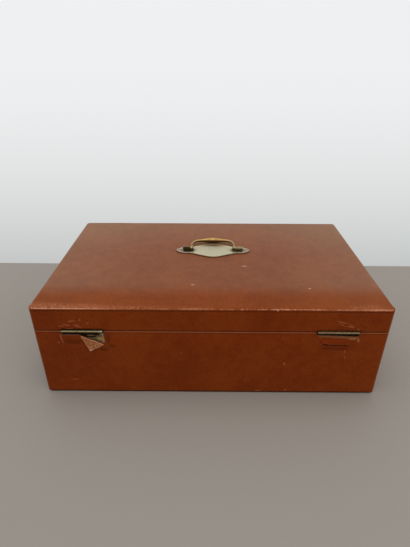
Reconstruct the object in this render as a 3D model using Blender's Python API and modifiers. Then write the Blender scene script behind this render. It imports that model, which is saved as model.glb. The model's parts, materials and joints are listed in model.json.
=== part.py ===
"""Leather-covered cutlery chest: hinged lid, bail handle, box lock with key, and a lift-out tray.

Metres, +Z up. The origin is the middle of the underside. The hinges are at the back (-Y), the lock
is at the front (+Y), and X runs along the width. At rest the lid is shut and unlocked, the tray is
down, and the bail lies folded towards the front.
"""

import math

import bmesh
import bpy
from mathutils import Matrix, Vector

# Driving dimensions of the chest
chest_width = 0.420
chest_depth = 0.261
chest_height = 0.129
lid_height = 0.0323
corner_radius = 0.010
lid_edge_radius = 0.0045

# Stock and clearances
gap = 0.0003
seam_gap = 0.0003
overrun = 0.002
leather_thickness = 0.0012
rim_edge_radius = 0.0014
wall_board_thickness = 0.009
base_board_thickness = 0.006
top_board_thickness = 0.007
felt_thickness = 0.0018
lining_thickness = 0.001

# Hinges
hinge_length = 0.0485
hinge_inset = 0.060
hinge_shift = -0.0014
barrel_radius = 0.0019
hinge_pin_radius = 0.0009
knuckle_count = 5
leaf_height = 0.010
leaf_thickness = 0.0009
leaf_neck_height = 0.001
barrel_slot_clearance = 0.0005
nail_head_radius = 0.0014
nail_head_thickness = 0.0005
nail_shank_radius = 0.0006
nail_length = 0.006
nail_spacing = 0.036
nail_drop = 0.0056

# Torn flap of the cover under the left hinge, measured from that hinge's middle at the seam
flap_left = -0.0022
flap_left_drop = 0.0066
flap_right = 0.0236
flap_right_drop = 0.0192
flap_tip = 0.0070
flap_tip_drop = 0.0272
flap_thickness = 0.0011
flap_lift = 0.0022

# Box lock in the front board, with its bolt and key
lock_plate_width = 0.054
lock_plate_thickness = 0.0012
lock_case_width = 0.041
lock_case_wall = 0.001
lock_cavity_depth = 0.0056
selvedge_lip = 0.0006
key_axis_drop = 0.0167
key_sweep_clearance = 0.0014
key_shaft_radius = 0.0015
key_bit_reach = 0.0055
key_bit_thickness = 0.002
key_bit_width = 0.0034
key_length = 0.028
key_bow_radius = 0.0065
key_bow_wire_radius = 0.0013
bolt_travel = 0.005
bolt_length = 0.030
bolt_height = 0.006
bolt_rise = 0.003
bolt_arm_width = 0.0024
bolt_tongue_height = 0.0024
bolt_tongue_thickness = 0.002
staple_spacing = 0.017
staple_thickness = 0.0015
staple_wall = 0.0009
staple_foot = 0.0012
link_plate_width = 0.046
escutcheon_width = 0.012
escutcheon_height = 0.019
escutcheon_thickness = 0.001
screw_head_radius = 0.0018
screw_head_thickness = 0.0006
screw_shank_radius = 0.0008
screw_length = 0.006
screw_inset = 0.0036

# Handle on the lid
handle_offset_x = 0.003
handle_offset_y = 0.0188
plate_length = 0.106
plate_width = 0.0425
plate_thickness = 0.0012
plate_rim_width = 0.0012
plate_rim_height = 0.0007
plate_rim_slope = 0.0004
post_spacing = 0.0760
post_length = 0.0108
post_bead_radius = 0.0026
post_waist_radius = 0.0021
post_belly_radius = 0.0024
post_bead_length = 0.0020
post_foot_length = 0.0070
post_foot_width = 0.0050
post_toe_length = 0.0048
post_toe_height = 0.0011
post_height = 0.0035
stud_radius = 0.0015
nut_radius = 0.0034
nut_thickness = 0.0024
bail_width = 0.0612
bail_reach = 0.0264
bail_pivot_radius = 0.0014
bail_pivot_length = 0.0085
bail_bend_radius = 0.0015
bail_leg_radius = 0.0016
bail_foot_radius = 0.0019
bail_foot_length = 0.0040
bail_corner_radius = 0.0140
bail_bow = 0.0008
bail_grip_radius = 0.0034
bail_collar_radius = 0.0039
bail_collar_length = 0.0110
bail_bead_length = 0.0010
corner_swell_share = 0.25

# Lift-out tray
tray_clearance = 0.0008
tray_wall_thickness = 0.004
tray_base_thickness = 0.003
tray_rim_drop = 0.0054
tray_floor_level = 0.050
tray_ledge_thickness = 0.006
tray_ledge_setback = 0.008
tray_rack_thickness = 0.012
tray_rack_height = 0.022
tray_rack_spacing = 0.130
tray_slot_count = 12
tray_slot_width = 0.004
tray_slot_depth = 0.011
tab_width = 0.020
tab_thickness = 0.001
tab_glued_share = 0.47
tab_rise = 0.006

# Racks under the tray
lower_rack_thickness = 0.014
lower_rack_height = 0.030
lower_rack_length = 0.200
lower_rack_spacing = 0.150
lower_slot_count = 12
lower_slot_width = 0.004
lower_slot_depth = 0.014

# Padded lining of the lid
cushion_thickness = 0.008
cushion_edge_radius = 0.003
cushion_corner_radius = 0.006

# Smoothness of round stretches
corner_steps = 6
edge_steps = 3
barrel_sides = 16
small_sides = 12
nut_sides = 6
post_sides = 20
grip_steps = 4
oval_steps = 24
bow_steps = 20
bow_sides = 8

# Levels and faces that follow from the sizes above
cover = leather_thickness + gap
seam_height = chest_height - lid_height
board_half_width = chest_width / 2 - cover
board_half_depth = chest_depth / 2 - cover
inner_half_width = board_half_width - wall_board_thickness
inner_half_depth = board_half_depth - wall_board_thickness
lining_half_width = inner_half_width - gap - lining_thickness
lining_half_depth = inner_half_depth - gap - lining_thickness
leather_low = felt_thickness - leather_thickness
base_low = felt_thickness + gap
base_high = base_low + base_board_thickness
wall_low = base_high + gap
body_rim = seam_height - seam_gap / 2
wall_high = body_rim - cover
lid_rim = seam_height + seam_gap / 2
rail_low = lid_rim + cover
top_board_high = chest_height - cover
top_board_low = top_board_high - top_board_thickness
rail_high = top_board_low - gap
floor_level = wall_low + lining_thickness
hinge_axis = Vector((0, -(board_half_depth + gap + barrel_radius), seam_height))
leaf_face = -board_half_depth
hinge_spacing = chest_width - 2 * hinge_inset
plate_low = chest_height + gap
plate_high = plate_low + plate_thickness
bail_axis = Vector((handle_offset_x, handle_offset_y, plate_high + gap + post_height))
lock_front = inner_half_depth + lock_plate_thickness + lock_cavity_depth
staple_middle = (inner_half_depth + lock_plate_thickness + lock_front - selvedge_lip) / 2
key_axis = Vector((0, lock_front, body_rim - key_axis_drop))
bolt_low = key_axis.z + bolt_rise
bolt_high = bolt_low + bolt_height
tray_half_width = lining_half_width - tray_clearance
tray_half_depth = lining_half_depth - tray_clearance
tray_wall_low = tray_floor_level + tray_base_thickness + gap
tray_wall_high = seam_height - tray_rim_drop


# Scene, collections and materials

def empty_scene():
    """Remove every object and collection of the scene."""
    for item in list(bpy.data.objects):
        bpy.data.objects.remove(item)
    for collection in list(bpy.data.collections):
        bpy.data.collections.remove(collection)


def new_collection(name):
    """Return a new collection linked to the scene."""
    collection = bpy.data.collections.new(name)
    bpy.context.scene.collection.children.link(collection)
    return collection


def material(name, colour, roughness, metallic=0.0):
    """Return a plain Principled material."""
    made = bpy.data.materials.new(name)
    made.use_nodes = True
    shader = made.node_tree.nodes["Principled BSDF"]
    shader.inputs["Base Color"].default_value = (*colour, 1.0)
    shader.inputs["Roughness"].default_value = roughness
    shader.inputs["Metallic"].default_value = metallic
    made.diffuse_color = (*colour, 1.0)
    return made


empty_scene()
chest_parts = new_collection("cutlery_chest")
cutters = new_collection("cutters")

leather = material("leather", (0.200, 0.042, 0.014), 0.45)
leather_flesh = material("leather_flesh", (0.300, 0.110, 0.050), 0.80)
pine = material("pine", (0.520, 0.340, 0.180), 0.60)
felt = material("felt", (0.060, 0.030, 0.020), 0.95)
velvet = material("velvet", (0.050, 0.012, 0.020), 0.95)
satin = material("satin", (0.620, 0.520, 0.380), 0.35)
ribbon = material("ribbon", (0.300, 0.030, 0.040), 0.50)
aged_brass = material("aged_brass", (0.330, 0.260, 0.130), 0.45, 1.0)
gilt_brass = material("gilt_brass", (0.720, 0.500, 0.180), 0.25, 1.0)
plate_brass = material("plate_brass", (0.640, 0.600, 0.450), 0.30, 1.0)
dark_bronze = material("dark_bronze", (0.070, 0.055, 0.025), 0.50, 1.0)
steel = material("steel", (0.420, 0.410, 0.390), 0.40, 1.0)


# Modelling helpers

def finish(item, made_of, name=None, axis=None):
    """Put a piece in the chest's collection, with its material and its joint's empty as parent."""
    chest_parts.objects.link(item)
    if name:
        item.name = name
    item.data.materials.clear()
    item.data.materials.append(made_of)
    item.data.shade_smooth()
    item.data.set_sharp_from_angle(angle=math.radians(35))
    if axis:
        item.parent = axis
        item.matrix_parent_inverse = Matrix.Translation(-axis.location)
    return item


def joint_empty(name, place):
    """Return an empty on the axis of a joint."""
    item = bpy.data.objects.new(name, None)
    item.location = place
    chest_parts.objects.link(item)
    return item


def mesh_object(name, shape, place=(0, 0, 0)):
    """Turn a bmesh into an object that is not in a collection yet."""
    mesh = bpy.data.meshes.new(name)
    shape.to_mesh(mesh)
    shape.free()
    item = bpy.data.objects.new(name, mesh)
    item.location = place
    return item


def box(name, low, high):
    """Return a box between two opposite corners, with its origin in its middle."""
    low = Vector(low)
    high = Vector(high)
    shape = bmesh.new()
    bmesh.ops.create_cube(shape, size=1, matrix=Matrix.Diagonal((*(high - low), 1)))
    return mesh_object(name, shape, (low + high) / 2)


def boxes(name, corner_pairs):
    """Return one mesh of several separate boxes."""
    shape = bmesh.new()
    for low, high in corner_pairs:
        size = Vector(high) - Vector(low)
        middle = (Vector(high) + Vector(low)) / 2
        place = Matrix.Translation(middle) @ Matrix.Diagonal((*size, 1))
        bmesh.ops.create_cube(shape, size=1, matrix=place)
    return mesh_object(name, shape)


def rod_matrix(start, end):
    """Return the matrix that lays a rod, made along Z, from start to end, and the rod's length."""
    run = Vector(end) - Vector(start)
    turn = run.to_track_quat("Z", "Y").to_matrix().to_4x4()
    return Matrix.Translation((Vector(start) + Vector(end)) / 2) @ turn, run.length


def rods(name, rod_list, sides):
    """Return one mesh of separate round rods, each a start, an end and a radius."""
    shape = bmesh.new()
    for start, end, radius in rod_list:
        place, length = rod_matrix(start, end)
        bmesh.ops.create_cone(
            shape, cap_ends=True, segments=sides, radius1=radius, radius2=radius, depth=length, matrix=place
        )
    return mesh_object(name, shape)


def evaluated_mesh(item):
    """Return the welded mesh of an object with its modifiers, and remove the object."""
    bpy.context.scene.collection.objects.link(item)
    graph = bpy.context.evaluated_depsgraph_get()
    mesh = bpy.data.meshes.new_from_object(item.evaluated_get(graph))
    mesh.transform(item.matrix_world)
    shape = bmesh.new()
    shape.from_mesh(mesh)
    bmesh.ops.remove_doubles(shape, verts=shape.verts, dist=gap / 10)
    bmesh.ops.recalc_face_normals(shape, faces=shape.faces)
    shape.to_mesh(mesh)
    shape.free()
    bpy.data.objects.remove(item)
    return mesh


def outline_solid(name, outlines, low, high, upright=False):
    """Return a slab with the given outlines; upright ones are drawn in X and Z, with depth along Y."""
    curve = bpy.data.curves.new(name, "CURVE")
    curve.dimensions = "2D"
    curve.fill_mode = "BOTH"
    curve.extrude = (high - low) / 2
    for outline in outlines:
        spline = curve.splines.new("POLY")
        spline.points.add(len(outline) - 1)
        for point, place in zip(spline.points, outline):
            point.co = (*place, 0, 1)
        spline.use_cyclic_u = True
    drawn = bpy.data.objects.new(name, curve)
    mesh = evaluated_mesh(drawn)
    item = bpy.data.objects.new(name, mesh)
    middle = (low + high) / 2
    item.location = (0, middle, 0) if upright else (0, 0, middle)
    item.rotation_euler.x = math.radians(90) if upright else 0
    return item


def arc(centre, radius, start, end, steps):
    """Return points on an arc between two angles in degrees."""
    turns = [math.radians(start + (end - start) * step / steps) for step in range(steps + 1)]
    return [(centre[0] + radius * math.cos(turn), centre[1] + radius * math.sin(turn)) for turn in turns]


def rectangle(half_width, half_depth):
    """Return the outline of a plain rectangle about the origin."""
    return [(x * half_width, y * half_depth) for x, y in ((1, 1), (-1, 1), (-1, -1), (1, -1))]


def rounded_block(name, half_width, half_depth, low, high, radius, low_edge, high_edge):
    """Return a block with round upright corners and round upper and lower edges."""
    middle = (low + high) / 2
    size = (2 * half_width, 2 * half_depth, high - low)
    shape = bmesh.new()
    bmesh.ops.create_cube(shape, size=1, matrix=Matrix.Diagonal((*size, 1)))
    upright = [edge for edge in shape.edges if abs(edge.verts[0].co.z - edge.verts[1].co.z) > gap]
    bmesh.ops.bevel(shape, geom=upright, offset=radius, segments=corner_steps, profile=0.5, affect="EDGES")
    for side, edge_radius in ((-1, low_edge), (1, high_edge)):
        level = side * (high - low) / 2
        ring = [edge for edge in shape.edges if all(abs(vert.co.z - level) < gap / 10 for vert in edge.verts)]
        if edge_radius > gap:
            bmesh.ops.bevel(
                shape, geom=ring, offset=edge_radius, segments=edge_steps, profile=0.5, affect="EDGES"
            )
    return mesh_object(name, shape, (0, 0, middle))


def as_tool(tool):
    """Keep a shape as a cutter: shown as wire and left out of the render."""
    if tool.name not in cutters.objects:
        cutters.objects.link(tool)
        tool.hide_render = True
        tool.display_type = "WIRE"
    return tool


def combine(item, tool, operation):
    """Add a Boolean modifier to a piece."""
    step = item.modifiers.new(tool.name, "BOOLEAN")
    step.operation = operation
    step.solver = "EXACT"
    step.object = as_tool(tool)


def cut(item, *tools):
    """Cut a piece with each tool."""
    for tool in tools:
        combine(item, tool, "DIFFERENCE")


def add(item, *tools):
    """Join each tool to a piece."""
    for tool in tools:
        combine(item, tool, "UNION")


# Joint axes

lid_hinge = joint_empty("lid_hinge_axis", hinge_axis)
bail_hinge = joint_empty("bail_hinge_axis", bail_axis)
key_turn = joint_empty("key_turn_axis", key_axis)
bolt_slide = joint_empty("bolt_slide_axis", (0, lock_front, bolt_low))
tray_lift = joint_empty("tray_lift_axis", (0, 0, tray_floor_level))


# Cutters shared by neighbouring pieces

hinge_sides = {"left": hinge_shift - hinge_spacing / 2, "right": hinge_shift + hinge_spacing / 2}
leaf_back = leaf_face + leaf_thickness
barrel_slots = boxes("barrel_slots_cutter", [
    (
        (x - hinge_length / 2 - barrel_slot_clearance, hinge_axis.y - barrel_radius - overrun,
         seam_height - barrel_radius - barrel_slot_clearance),
        (x + hinge_length / 2 + barrel_slot_clearance, leaf_back + gap,
         seam_height + barrel_radius + barrel_slot_clearance),
    )
    for x in hinge_sides.values()
])
leaf_mortises = boxes("leaf_mortises_cutter", [
    (
        (x - hinge_length / 2 - gap, leaf_face - overrun, seam_height - leaf_height - gap),
        (x + hinge_length / 2 + gap, leaf_back + gap, seam_height + leaf_height + gap),
    )
    for x in hinge_sides.values()
])
key_bore = rods("key_bore_cutter", [
    ((0, lock_front, key_axis.z),
     (0, chest_depth / 2 + escutcheon_thickness + overrun, key_axis.z),
     key_shaft_radius + gap)
], small_sides)
key_slot = box(
    "key_slot_cutter",
    (-key_bit_thickness / 2 - gap, lock_front, key_axis.z - key_bit_reach - gap),
    (key_bit_thickness / 2 + gap, chest_depth / 2 + escutcheon_thickness + overrun, key_axis.z),
)
selvedge_notch = box(
    "selvedge_notch_cutter",
    (-lock_plate_width / 2 - gap, inner_half_depth - overrun, body_rim - leather_thickness - gap / 2),
    (lock_plate_width / 2 + gap, lock_front + gap, lid_rim + leather_thickness + gap / 2),
)


def nail_places(direction):
    """Return the nails of both leaves below (-1) or above (1) the seam, as name and middle."""
    level = seam_height + direction * nail_drop
    return [
        (f"{side}_{number}", hinge_sides[side] + end * nail_spacing / 2, level)
        for side in hinge_sides
        for number, end in ((1, -1), (2, 1))
    ]


nail_head_holes = {}
nail_shank_holes = {}
for cut_name, direction in (("body", -1), ("lid", 1)):
    nail_head_holes[direction] = rods(f"{cut_name}_nail_head_cutter", [
        ((x, leaf_face - overrun, z), (x, leaf_back + overrun, z), nail_head_radius + gap)
        for _, x, z in nail_places(direction)
    ], small_sides)
    nail_shank_holes[direction] = rods(f"{cut_name}_nail_shank_cutter", [
        ((x, leaf_face, z), (x, leaf_face + nail_length + gap, z), nail_shank_radius + gap)
        for _, x, z in nail_places(direction)
    ], small_sides)


def fastener(name, place, along, sizes, made_of, axis=None):
    """Nail or screw: a flat head whose top is at a place, and a shank that runs along a direction."""
    head_radius, head_thickness, shank_radius, length = sizes
    top = Vector(place)
    along = Vector(along)
    head = rods(name, [(top, top + along * head_thickness, head_radius)], small_sides)
    shank = rods(f"{name}_shank", [
        (top + along * head_thickness / 2, top + along * length, shank_radius)
    ], small_sides)
    add(head, shank)
    finish(head, made_of, axis=axis)


# Body of the chest

def base_felt():
    """Felt under the base, on which the chest stands."""
    outline = rectangle(inner_half_width - gap, inner_half_depth - gap)
    finish(outline_solid("base_felt", [outline], 0, felt_thickness), felt)


def base_board():
    """Bottom board, with the walls standing on it."""
    board = rounded_block(
        "base_board", board_half_width, board_half_depth, base_low, base_high, corner_radius - cover, 0, 0
    )
    finish(board, pine)


def long_board(name, side, low, high, axis=None):
    """Return a front (side 1) or back (side -1) board, full width, with round outer corners."""
    radius = corner_radius - cover
    centre = (board_half_width - radius, board_half_depth - radius)
    right = arc(centre, radius, 0, 90, corner_steps)
    left = arc((-centre[0], centre[1]), radius, 90, 180, corner_steps)
    outline = right + left + [(-board_half_width, inner_half_depth), (board_half_width, inner_half_depth)]
    outline = [(x, side * y) for x, y in outline]
    board = outline_solid(name, [outline], low, high)
    return finish(board, pine, axis=axis)


def short_board(name, side, low, high, axis=None):
    """Return a left (side -1) or right (side 1) board, between the front and back boards."""
    near = side * inner_half_width
    far = side * board_half_width
    half_depth = inner_half_depth - gap
    board = box(name, (min(near, far), -half_depth, low), (max(near, far), half_depth, high))
    return finish(board, pine, axis=axis)


def body_boards():
    """Four walls of the body, with the mortises of the hinges and of the lock."""
    back = long_board("back_board", -1, wall_low, wall_high)
    cut(back, leaf_mortises, nail_shank_holes[-1])
    front = long_board("front_board", 1, wall_low, wall_high)
    plate_recess = box(
        "lock_plate_recess_cutter",
        (-lock_plate_width / 2 - gap, inner_half_depth - overrun, lock_low() - gap),
        (lock_plate_width / 2 + gap, inner_half_depth + lock_plate_thickness + gap, wall_high + overrun),
    )
    case_recess = box(
        "lock_case_recess_cutter",
        (-lock_case_width / 2 - gap, inner_half_depth, lock_low() - gap),
        (lock_case_width / 2 + gap, lock_front + gap, wall_high + overrun),
    )
    cut(front, plate_recess, case_recess, key_bore, key_slot, lock_screw_holes())
    short_board("left_board", -1, wall_low, wall_high)
    short_board("right_board", 1, wall_low, wall_high)


def cover_shell(name, low, high, low_edge, high_edge, open_low, open_high):
    """Return a leather cover: a block hollowed to the leather's thickness and open inside the rims."""
    shell = rounded_block(
        name, chest_width / 2, chest_depth / 2, low, high, corner_radius, low_edge, high_edge
    )
    hollow = rounded_block(
        f"{name}_hollow_cutter",
        chest_width / 2 - leather_thickness,
        chest_depth / 2 - leather_thickness,
        low + leather_thickness,
        high - leather_thickness,
        corner_radius - leather_thickness,
        low_edge - leather_thickness,
        high_edge - leather_thickness,
    )
    mouth = box(
        f"{name}_mouth_cutter",
        (-inner_half_width, -inner_half_depth, open_low),
        (inner_half_width, inner_half_depth, open_high),
    )
    cut(shell, hollow, mouth)
    return shell


def tear_outline():
    """Return the corners of the torn opening: the fold's two ends and its two ends at the barrel slot."""
    middle = hinge_sides["left"]
    top = seam_height - barrel_radius
    return [
        (middle + flap_left, seam_height - flap_left_drop),
        (middle + flap_right, seam_height - flap_right_drop),
        (middle + flap_right, top),
        (middle + flap_left - flap_left_drop, top),
    ]


def body_leather():
    """Leather around the walls, turned in over the rim and under the base, torn at the left hinge."""
    shell = cover_shell(
        "body_leather", leather_low, body_rim, rim_edge_radius, rim_edge_radius,
        leather_low - overrun, body_rim + overrun,
    )
    tear = outline_solid(
        "tear_cutter", [tear_outline()], -chest_depth / 2 - overrun,
        -chest_depth / 2 + leather_thickness + gap / 2, upright=True,
    )
    cut(shell, barrel_slots, tear, key_bore, key_slot, selvedge_notch)
    finish(shell, leather)


def torn_flap():
    """Flap of the cover that hangs from the tear, fleshy side out, standing proud at its tip."""
    middle = hinge_sides["left"]
    face = -chest_depth / 2 - gap
    left = Vector((middle + flap_left, face, seam_height - flap_left_drop))
    right = Vector((middle + flap_right, face, seam_height - flap_right_drop))
    tip = Vector((middle + flap_tip, face - flap_lift, seam_height - flap_tip_drop))
    outward = (left - right).cross(tip - right).normalized()
    if outward.y > 0:
        outward = -outward
    shape = bmesh.new()
    corners = [shape.verts.new(corner + outward * gap) for corner in (left, right, tip)]
    bmesh.ops.contextual_create(shape, geom=corners)
    grown = bmesh.ops.extrude_face_region(shape, geom=list(shape.faces))
    moved = [part for part in grown["geom"] if isinstance(part, bmesh.types.BMVert)]
    bmesh.ops.translate(shape, verts=moved, vec=outward * flap_thickness)
    bmesh.ops.recalc_face_normals(shape, faces=shape.faces)
    finish(mesh_object("torn_leather_flap", shape), leather_flesh)


def body_linings():
    """Velvet on the walls and the floor."""
    outer = rectangle(inner_half_width - gap, inner_half_depth - gap)
    inner = rectangle(lining_half_width, lining_half_depth)
    walls = outline_solid("wall_lining", [outer, inner], wall_low, wall_high)
    lock_window = box(
        "lock_window_cutter",
        (-lock_plate_width / 2 - gap, lining_half_depth - overrun, lock_low() - gap),
        (lock_plate_width / 2 + gap, inner_half_depth, wall_high + overrun),
    )
    cut(walls, lock_window)
    finish(walls, velvet)
    floor = box(
        "floor_lining",
        (-lining_half_width + gap, -lining_half_depth + gap, wall_low),
        (lining_half_width - gap, lining_half_depth - gap, floor_level),
    )
    finish(floor, velvet)


def comb(name, low, high, along, slot_count, slot_width, slot_depth, axis=None):
    """Return a slotted rack: a bar with evenly spaced slots in its upper edge."""
    bar = box(name, low, high)
    across = 1 - along
    length = high[along] - low[along]
    pitch = length / slot_count
    pairs = []
    for slot in range(slot_count):
        centre = low[along] + pitch * slot + pitch / 2
        start = [0, 0, high[2] - slot_depth]
        end = [0, 0, high[2] + overrun]
        start[along] = centre - slot_width / 2
        end[along] = centre + slot_width / 2
        start[across] = low[across] - overrun
        end[across] = high[across] + overrun
        pairs.append((start, end))
    cut(bar, boxes(f"{name}_slots_cutter", pairs))
    finish(bar, velvet, axis=axis)


def lower_racks():
    """Two slotted racks on the floor, under the tray."""
    for name, side in (("left", -1), ("right", 1)):
        centre = side * lower_rack_spacing / 2
        comb(
            f"lower_rack_{name}",
            (centre - lower_rack_thickness / 2, -lower_rack_length / 2, floor_level + gap),
            (centre + lower_rack_thickness / 2, lower_rack_length / 2, floor_level + gap + lower_rack_height),
            1, lower_slot_count, lower_slot_width, lower_slot_depth,
        )


def tray_ledges():
    """Strips at the two ends that carry the tray."""
    for name, side in (("left", -1), ("right", 1)):
        outer = side * (lining_half_width - gap)
        inner = side * (lining_half_width - gap - tray_ledge_thickness)
        half_depth = lining_half_depth - tray_ledge_setback
        ledge = box(
            f"tray_ledge_{name}",
            (min(outer, inner), -half_depth, floor_level + gap),
            (max(outer, inner), half_depth, tray_floor_level - gap),
        )
        finish(ledge, velvet)


# Hinges

def knuckles(side, own):
    """Return the ends of the knuckles of one leaf: even ones for the body, odd ones for the lid."""
    start = hinge_sides[side] - hinge_length / 2
    pitch = (hinge_length + gap) / knuckle_count
    first = 0 if own == "body" else 1
    return [(start + n * pitch, start + (n + 1) * pitch - gap) for n in range(first, knuckle_count, 2)]


def hinge_leaf(name, side, own, axis=None):
    """Leaf let into the back board, with its knuckles on the barrel's line."""
    direction = -1 if own == "body" else 1
    start = hinge_sides[side] - hinge_length / 2
    near = seam_height + direction * gap
    far = seam_height + direction * leaf_height
    neck = seam_height + direction * (gap + leaf_neck_height)
    leaf = box(name, (start, leaf_face, min(near, far)), (start + hinge_length, leaf_back, max(near, far)))
    leaf_knuckles = knuckles(side, own)
    barrels = rods(f"{name}_barrel", [
        ((low, hinge_axis.y, seam_height), (high, hinge_axis.y, seam_height), barrel_radius)
        for low, high in leaf_knuckles
    ], barrel_sides)
    necks = boxes(f"{name}_necks", [
        ((low, hinge_axis.y, min(near, neck)), (high, leaf_face + leaf_thickness / 2, max(near, neck)))
        for low, high in leaf_knuckles
    ])
    bore = rods(f"{name}_bore_cutter", [(
        (start - overrun, hinge_axis.y, seam_height),
        (start + hinge_length + overrun, hinge_axis.y, seam_height),
        hinge_pin_radius + gap,
    )], small_sides)
    add(leaf, necks, barrels)
    cut(leaf, bore, nail_head_holes[direction])
    finish(leaf, aged_brass, axis=axis)


def hinge_pins():
    """Pins through the knuckles of both hinges."""
    for side, x in hinge_sides.items():
        pin = rods(f"hinge_pin_{side}", [(
            (x - hinge_length / 2, hinge_axis.y, seam_height),
            (x + hinge_length / 2, hinge_axis.y, seam_height),
            hinge_pin_radius,
        )], small_sides)
        finish(pin, aged_brass)


def hinge_nails(own, direction, axis=None):
    """Nails of both leaves on one side of the seam, with their heads sunk in the leaves."""
    top = leaf_back - gap - nail_head_thickness
    sizes = (nail_head_radius, nail_head_thickness, nail_shank_radius, nail_length)
    for nail_name, x, z in nail_places(direction):
        fastener(f"{own}_hinge_nail_{nail_name}", (x, top, z), (0, 1, 0), sizes, aged_brass, axis)


# Lock

def lock_low():
    """Return the level of the lock's lower edge, one wall below the key's sweep."""
    return key_axis.z - key_bit_reach - key_sweep_clearance - lock_case_wall


def lock_screw_places():
    """Return the two screws of the lock, one in each ear of its plate, as name and X place."""
    x = (lock_plate_width + lock_case_width) / 4
    return (("left", -x), ("right", x))


def lock_middle():
    """Return the level of the lock's screws, half way up its plate."""
    return (lock_low() + wall_high) / 2


def lock_screw_holes():
    """Return the cutter for the shanks of the lock's screws in the front board."""
    return rods("lock_screw_cutter", [
        ((x, inner_half_depth, lock_middle()), (x, inner_half_depth + screw_length + gap, lock_middle()),
         screw_shank_radius + gap)
        for _, x in lock_screw_places()
    ], small_sides)


def lock_screws():
    """Screws with flat heads let into the lock's plate."""
    sizes = (screw_head_radius, screw_head_thickness, screw_shank_radius, screw_length)
    for name, x in lock_screw_places():
        fastener(f"lock_screw_{name}", (x, inner_half_depth, lock_middle()), (0, 1, 0), sizes, steel)


def staple_lines():
    """Return the X places of the two staples of the link plate."""
    return (-staple_spacing / 2, staple_spacing / 2)


def lock_case():
    """Lock body: plate, walls open towards the wood, shelves for the bolt, and a selvedge in the rim."""
    cavity_low = lock_low() + lock_case_wall
    back = inner_half_depth + lock_plate_thickness
    half = lock_case_width / 2
    selvedge_low = body_rim - leather_thickness
    case = box(
        "lock_case",
        (-lock_plate_width / 2, inner_half_depth, lock_low()),
        (lock_plate_width / 2, back, selvedge_low + leather_thickness / 2),
    )
    walls = box(
        "lock_walls",
        (-half, back - lock_plate_thickness / 2, lock_low()),
        (half, lock_front, selvedge_low + leather_thickness / 2),
    )
    cavity = box(
        "lock_cavity_cutter",
        (-half + lock_case_wall, back, cavity_low),
        (half - lock_case_wall, lock_front + overrun, wall_high - gap),
    )
    selvedge = box(
        "lock_selvedge",
        (-lock_plate_width / 2, inner_half_depth, selvedge_low),
        (lock_plate_width / 2, lock_front, body_rim),
    )
    shelf_start = key_bit_reach + key_sweep_clearance
    shelf_end = half - lock_case_wall / 2
    shelves = boxes("lock_shelves", [
        (
            (min(side * shelf_start, side * shelf_end), back - lock_plate_thickness / 2,
             cavity_low - lock_case_wall / 2),
            (max(side * shelf_start, side * shelf_end), lock_front - gap, bolt_low - gap),
        )
        for side in (-1, 1)
    ])
    slots = boxes("staple_slots_cutter", [
        (
            (x - staple_thickness / 2 - gap, back, wall_high - overrun),
            (x + staple_thickness / 2 + gap, lock_front - selvedge_lip, body_rim + overrun),
        )
        for x in staple_lines()
    ])
    heads = rods("lock_head_cutter", [
        ((x, inner_half_depth - overrun, lock_middle()),
         (x, inner_half_depth + screw_head_thickness + gap, lock_middle()), screw_head_radius + gap)
        for _, x in lock_screw_places()
    ], small_sides)
    shanks = rods("lock_shank_cutter", [
        ((x, inner_half_depth, lock_middle()), (x, back + overrun, lock_middle()), screw_shank_radius + gap)
        for _, x in lock_screw_places()
    ], small_sides)
    add(case, walls)
    cut(case, cavity)
    add(case, selvedge, shelves)
    cut(case, slots, heads, shanks)
    finish(case, aged_brass)


def lock_bolt():
    """Bolt with a talon notch for the key and two tongues for the staples."""
    middle = -bolt_travel / 2
    reach = math.hypot(key_bit_reach, key_bit_thickness / 2)
    chord = math.sqrt(reach ** 2 - (bolt_rise - gap) ** 2) + gap
    notch_high = key_axis.z + reach + gap
    start = middle - bolt_length / 2
    end = middle + bolt_length / 2
    back = inner_half_depth + lock_plate_thickness + gap
    front = lock_front - gap
    outline = [
        (start, bolt_low), (middle - chord, bolt_low), (middle - chord, notch_high),
        (middle + chord, notch_high), (middle + chord, bolt_low), (end, bolt_low),
        (end, bolt_high), (start, bolt_high),
    ]
    bolt = outline_solid("lock_bolt", [outline], back, front, upright=True)
    tongue_low = bolt_high + gap + staple_foot + gap
    tongue_high = tongue_low + bolt_tongue_height
    arms = []
    for x in staple_lines():
        tip = x - staple_thickness / 2 - gap
        arm_end = tip - bolt_travel
        hook = [
            (arm_end - bolt_arm_width, bolt_high - staple_foot), (arm_end, bolt_high - staple_foot),
            (arm_end, tongue_low), (tip, tongue_low), (tip, tongue_high),
            (arm_end - bolt_arm_width, tongue_high),
        ]
        arms.append(hook)
    hooks = outline_solid(
        "lock_bolt_hooks", arms, staple_middle - bolt_tongue_thickness / 2,
        staple_middle + bolt_tongue_thickness / 2, upright=True,
    )
    add(bolt, hooks)
    finish(bolt, steel, axis=bolt_slide)


def key():
    """Key in the lock: shaft, bit inside the case, and ring bow outside."""
    tip = inner_half_depth + lock_plate_thickness + gap
    bow_centre = lock_front + key_length
    shaft = rods("key", [(
        (0, tip, key_axis.z),
        (0, bow_centre - key_bow_radius, key_axis.z),
        key_shaft_radius,
    )], small_sides)
    bit_start = (tip + lock_front - key_bit_width) / 2
    bit = box(
        "key_bit",
        (-key_bit_thickness / 2, bit_start, key_axis.z - key_bit_reach),
        (key_bit_thickness / 2, bit_start + key_bit_width, key_axis.z),
    )
    bpy.ops.mesh.primitive_torus_add(
        major_radius=key_bow_radius, minor_radius=key_bow_wire_radius,
        major_segments=bow_steps, minor_segments=bow_sides,
        location=(0, bow_centre, key_axis.z), rotation=(0, math.radians(90), 0),
    )
    bow = bpy.context.object
    bow.name = "key_bow"
    bpy.context.scene.collection.objects.unlink(bow)
    add(shaft, bit, bow)
    finish(shaft, steel, axis=key_turn)


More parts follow.
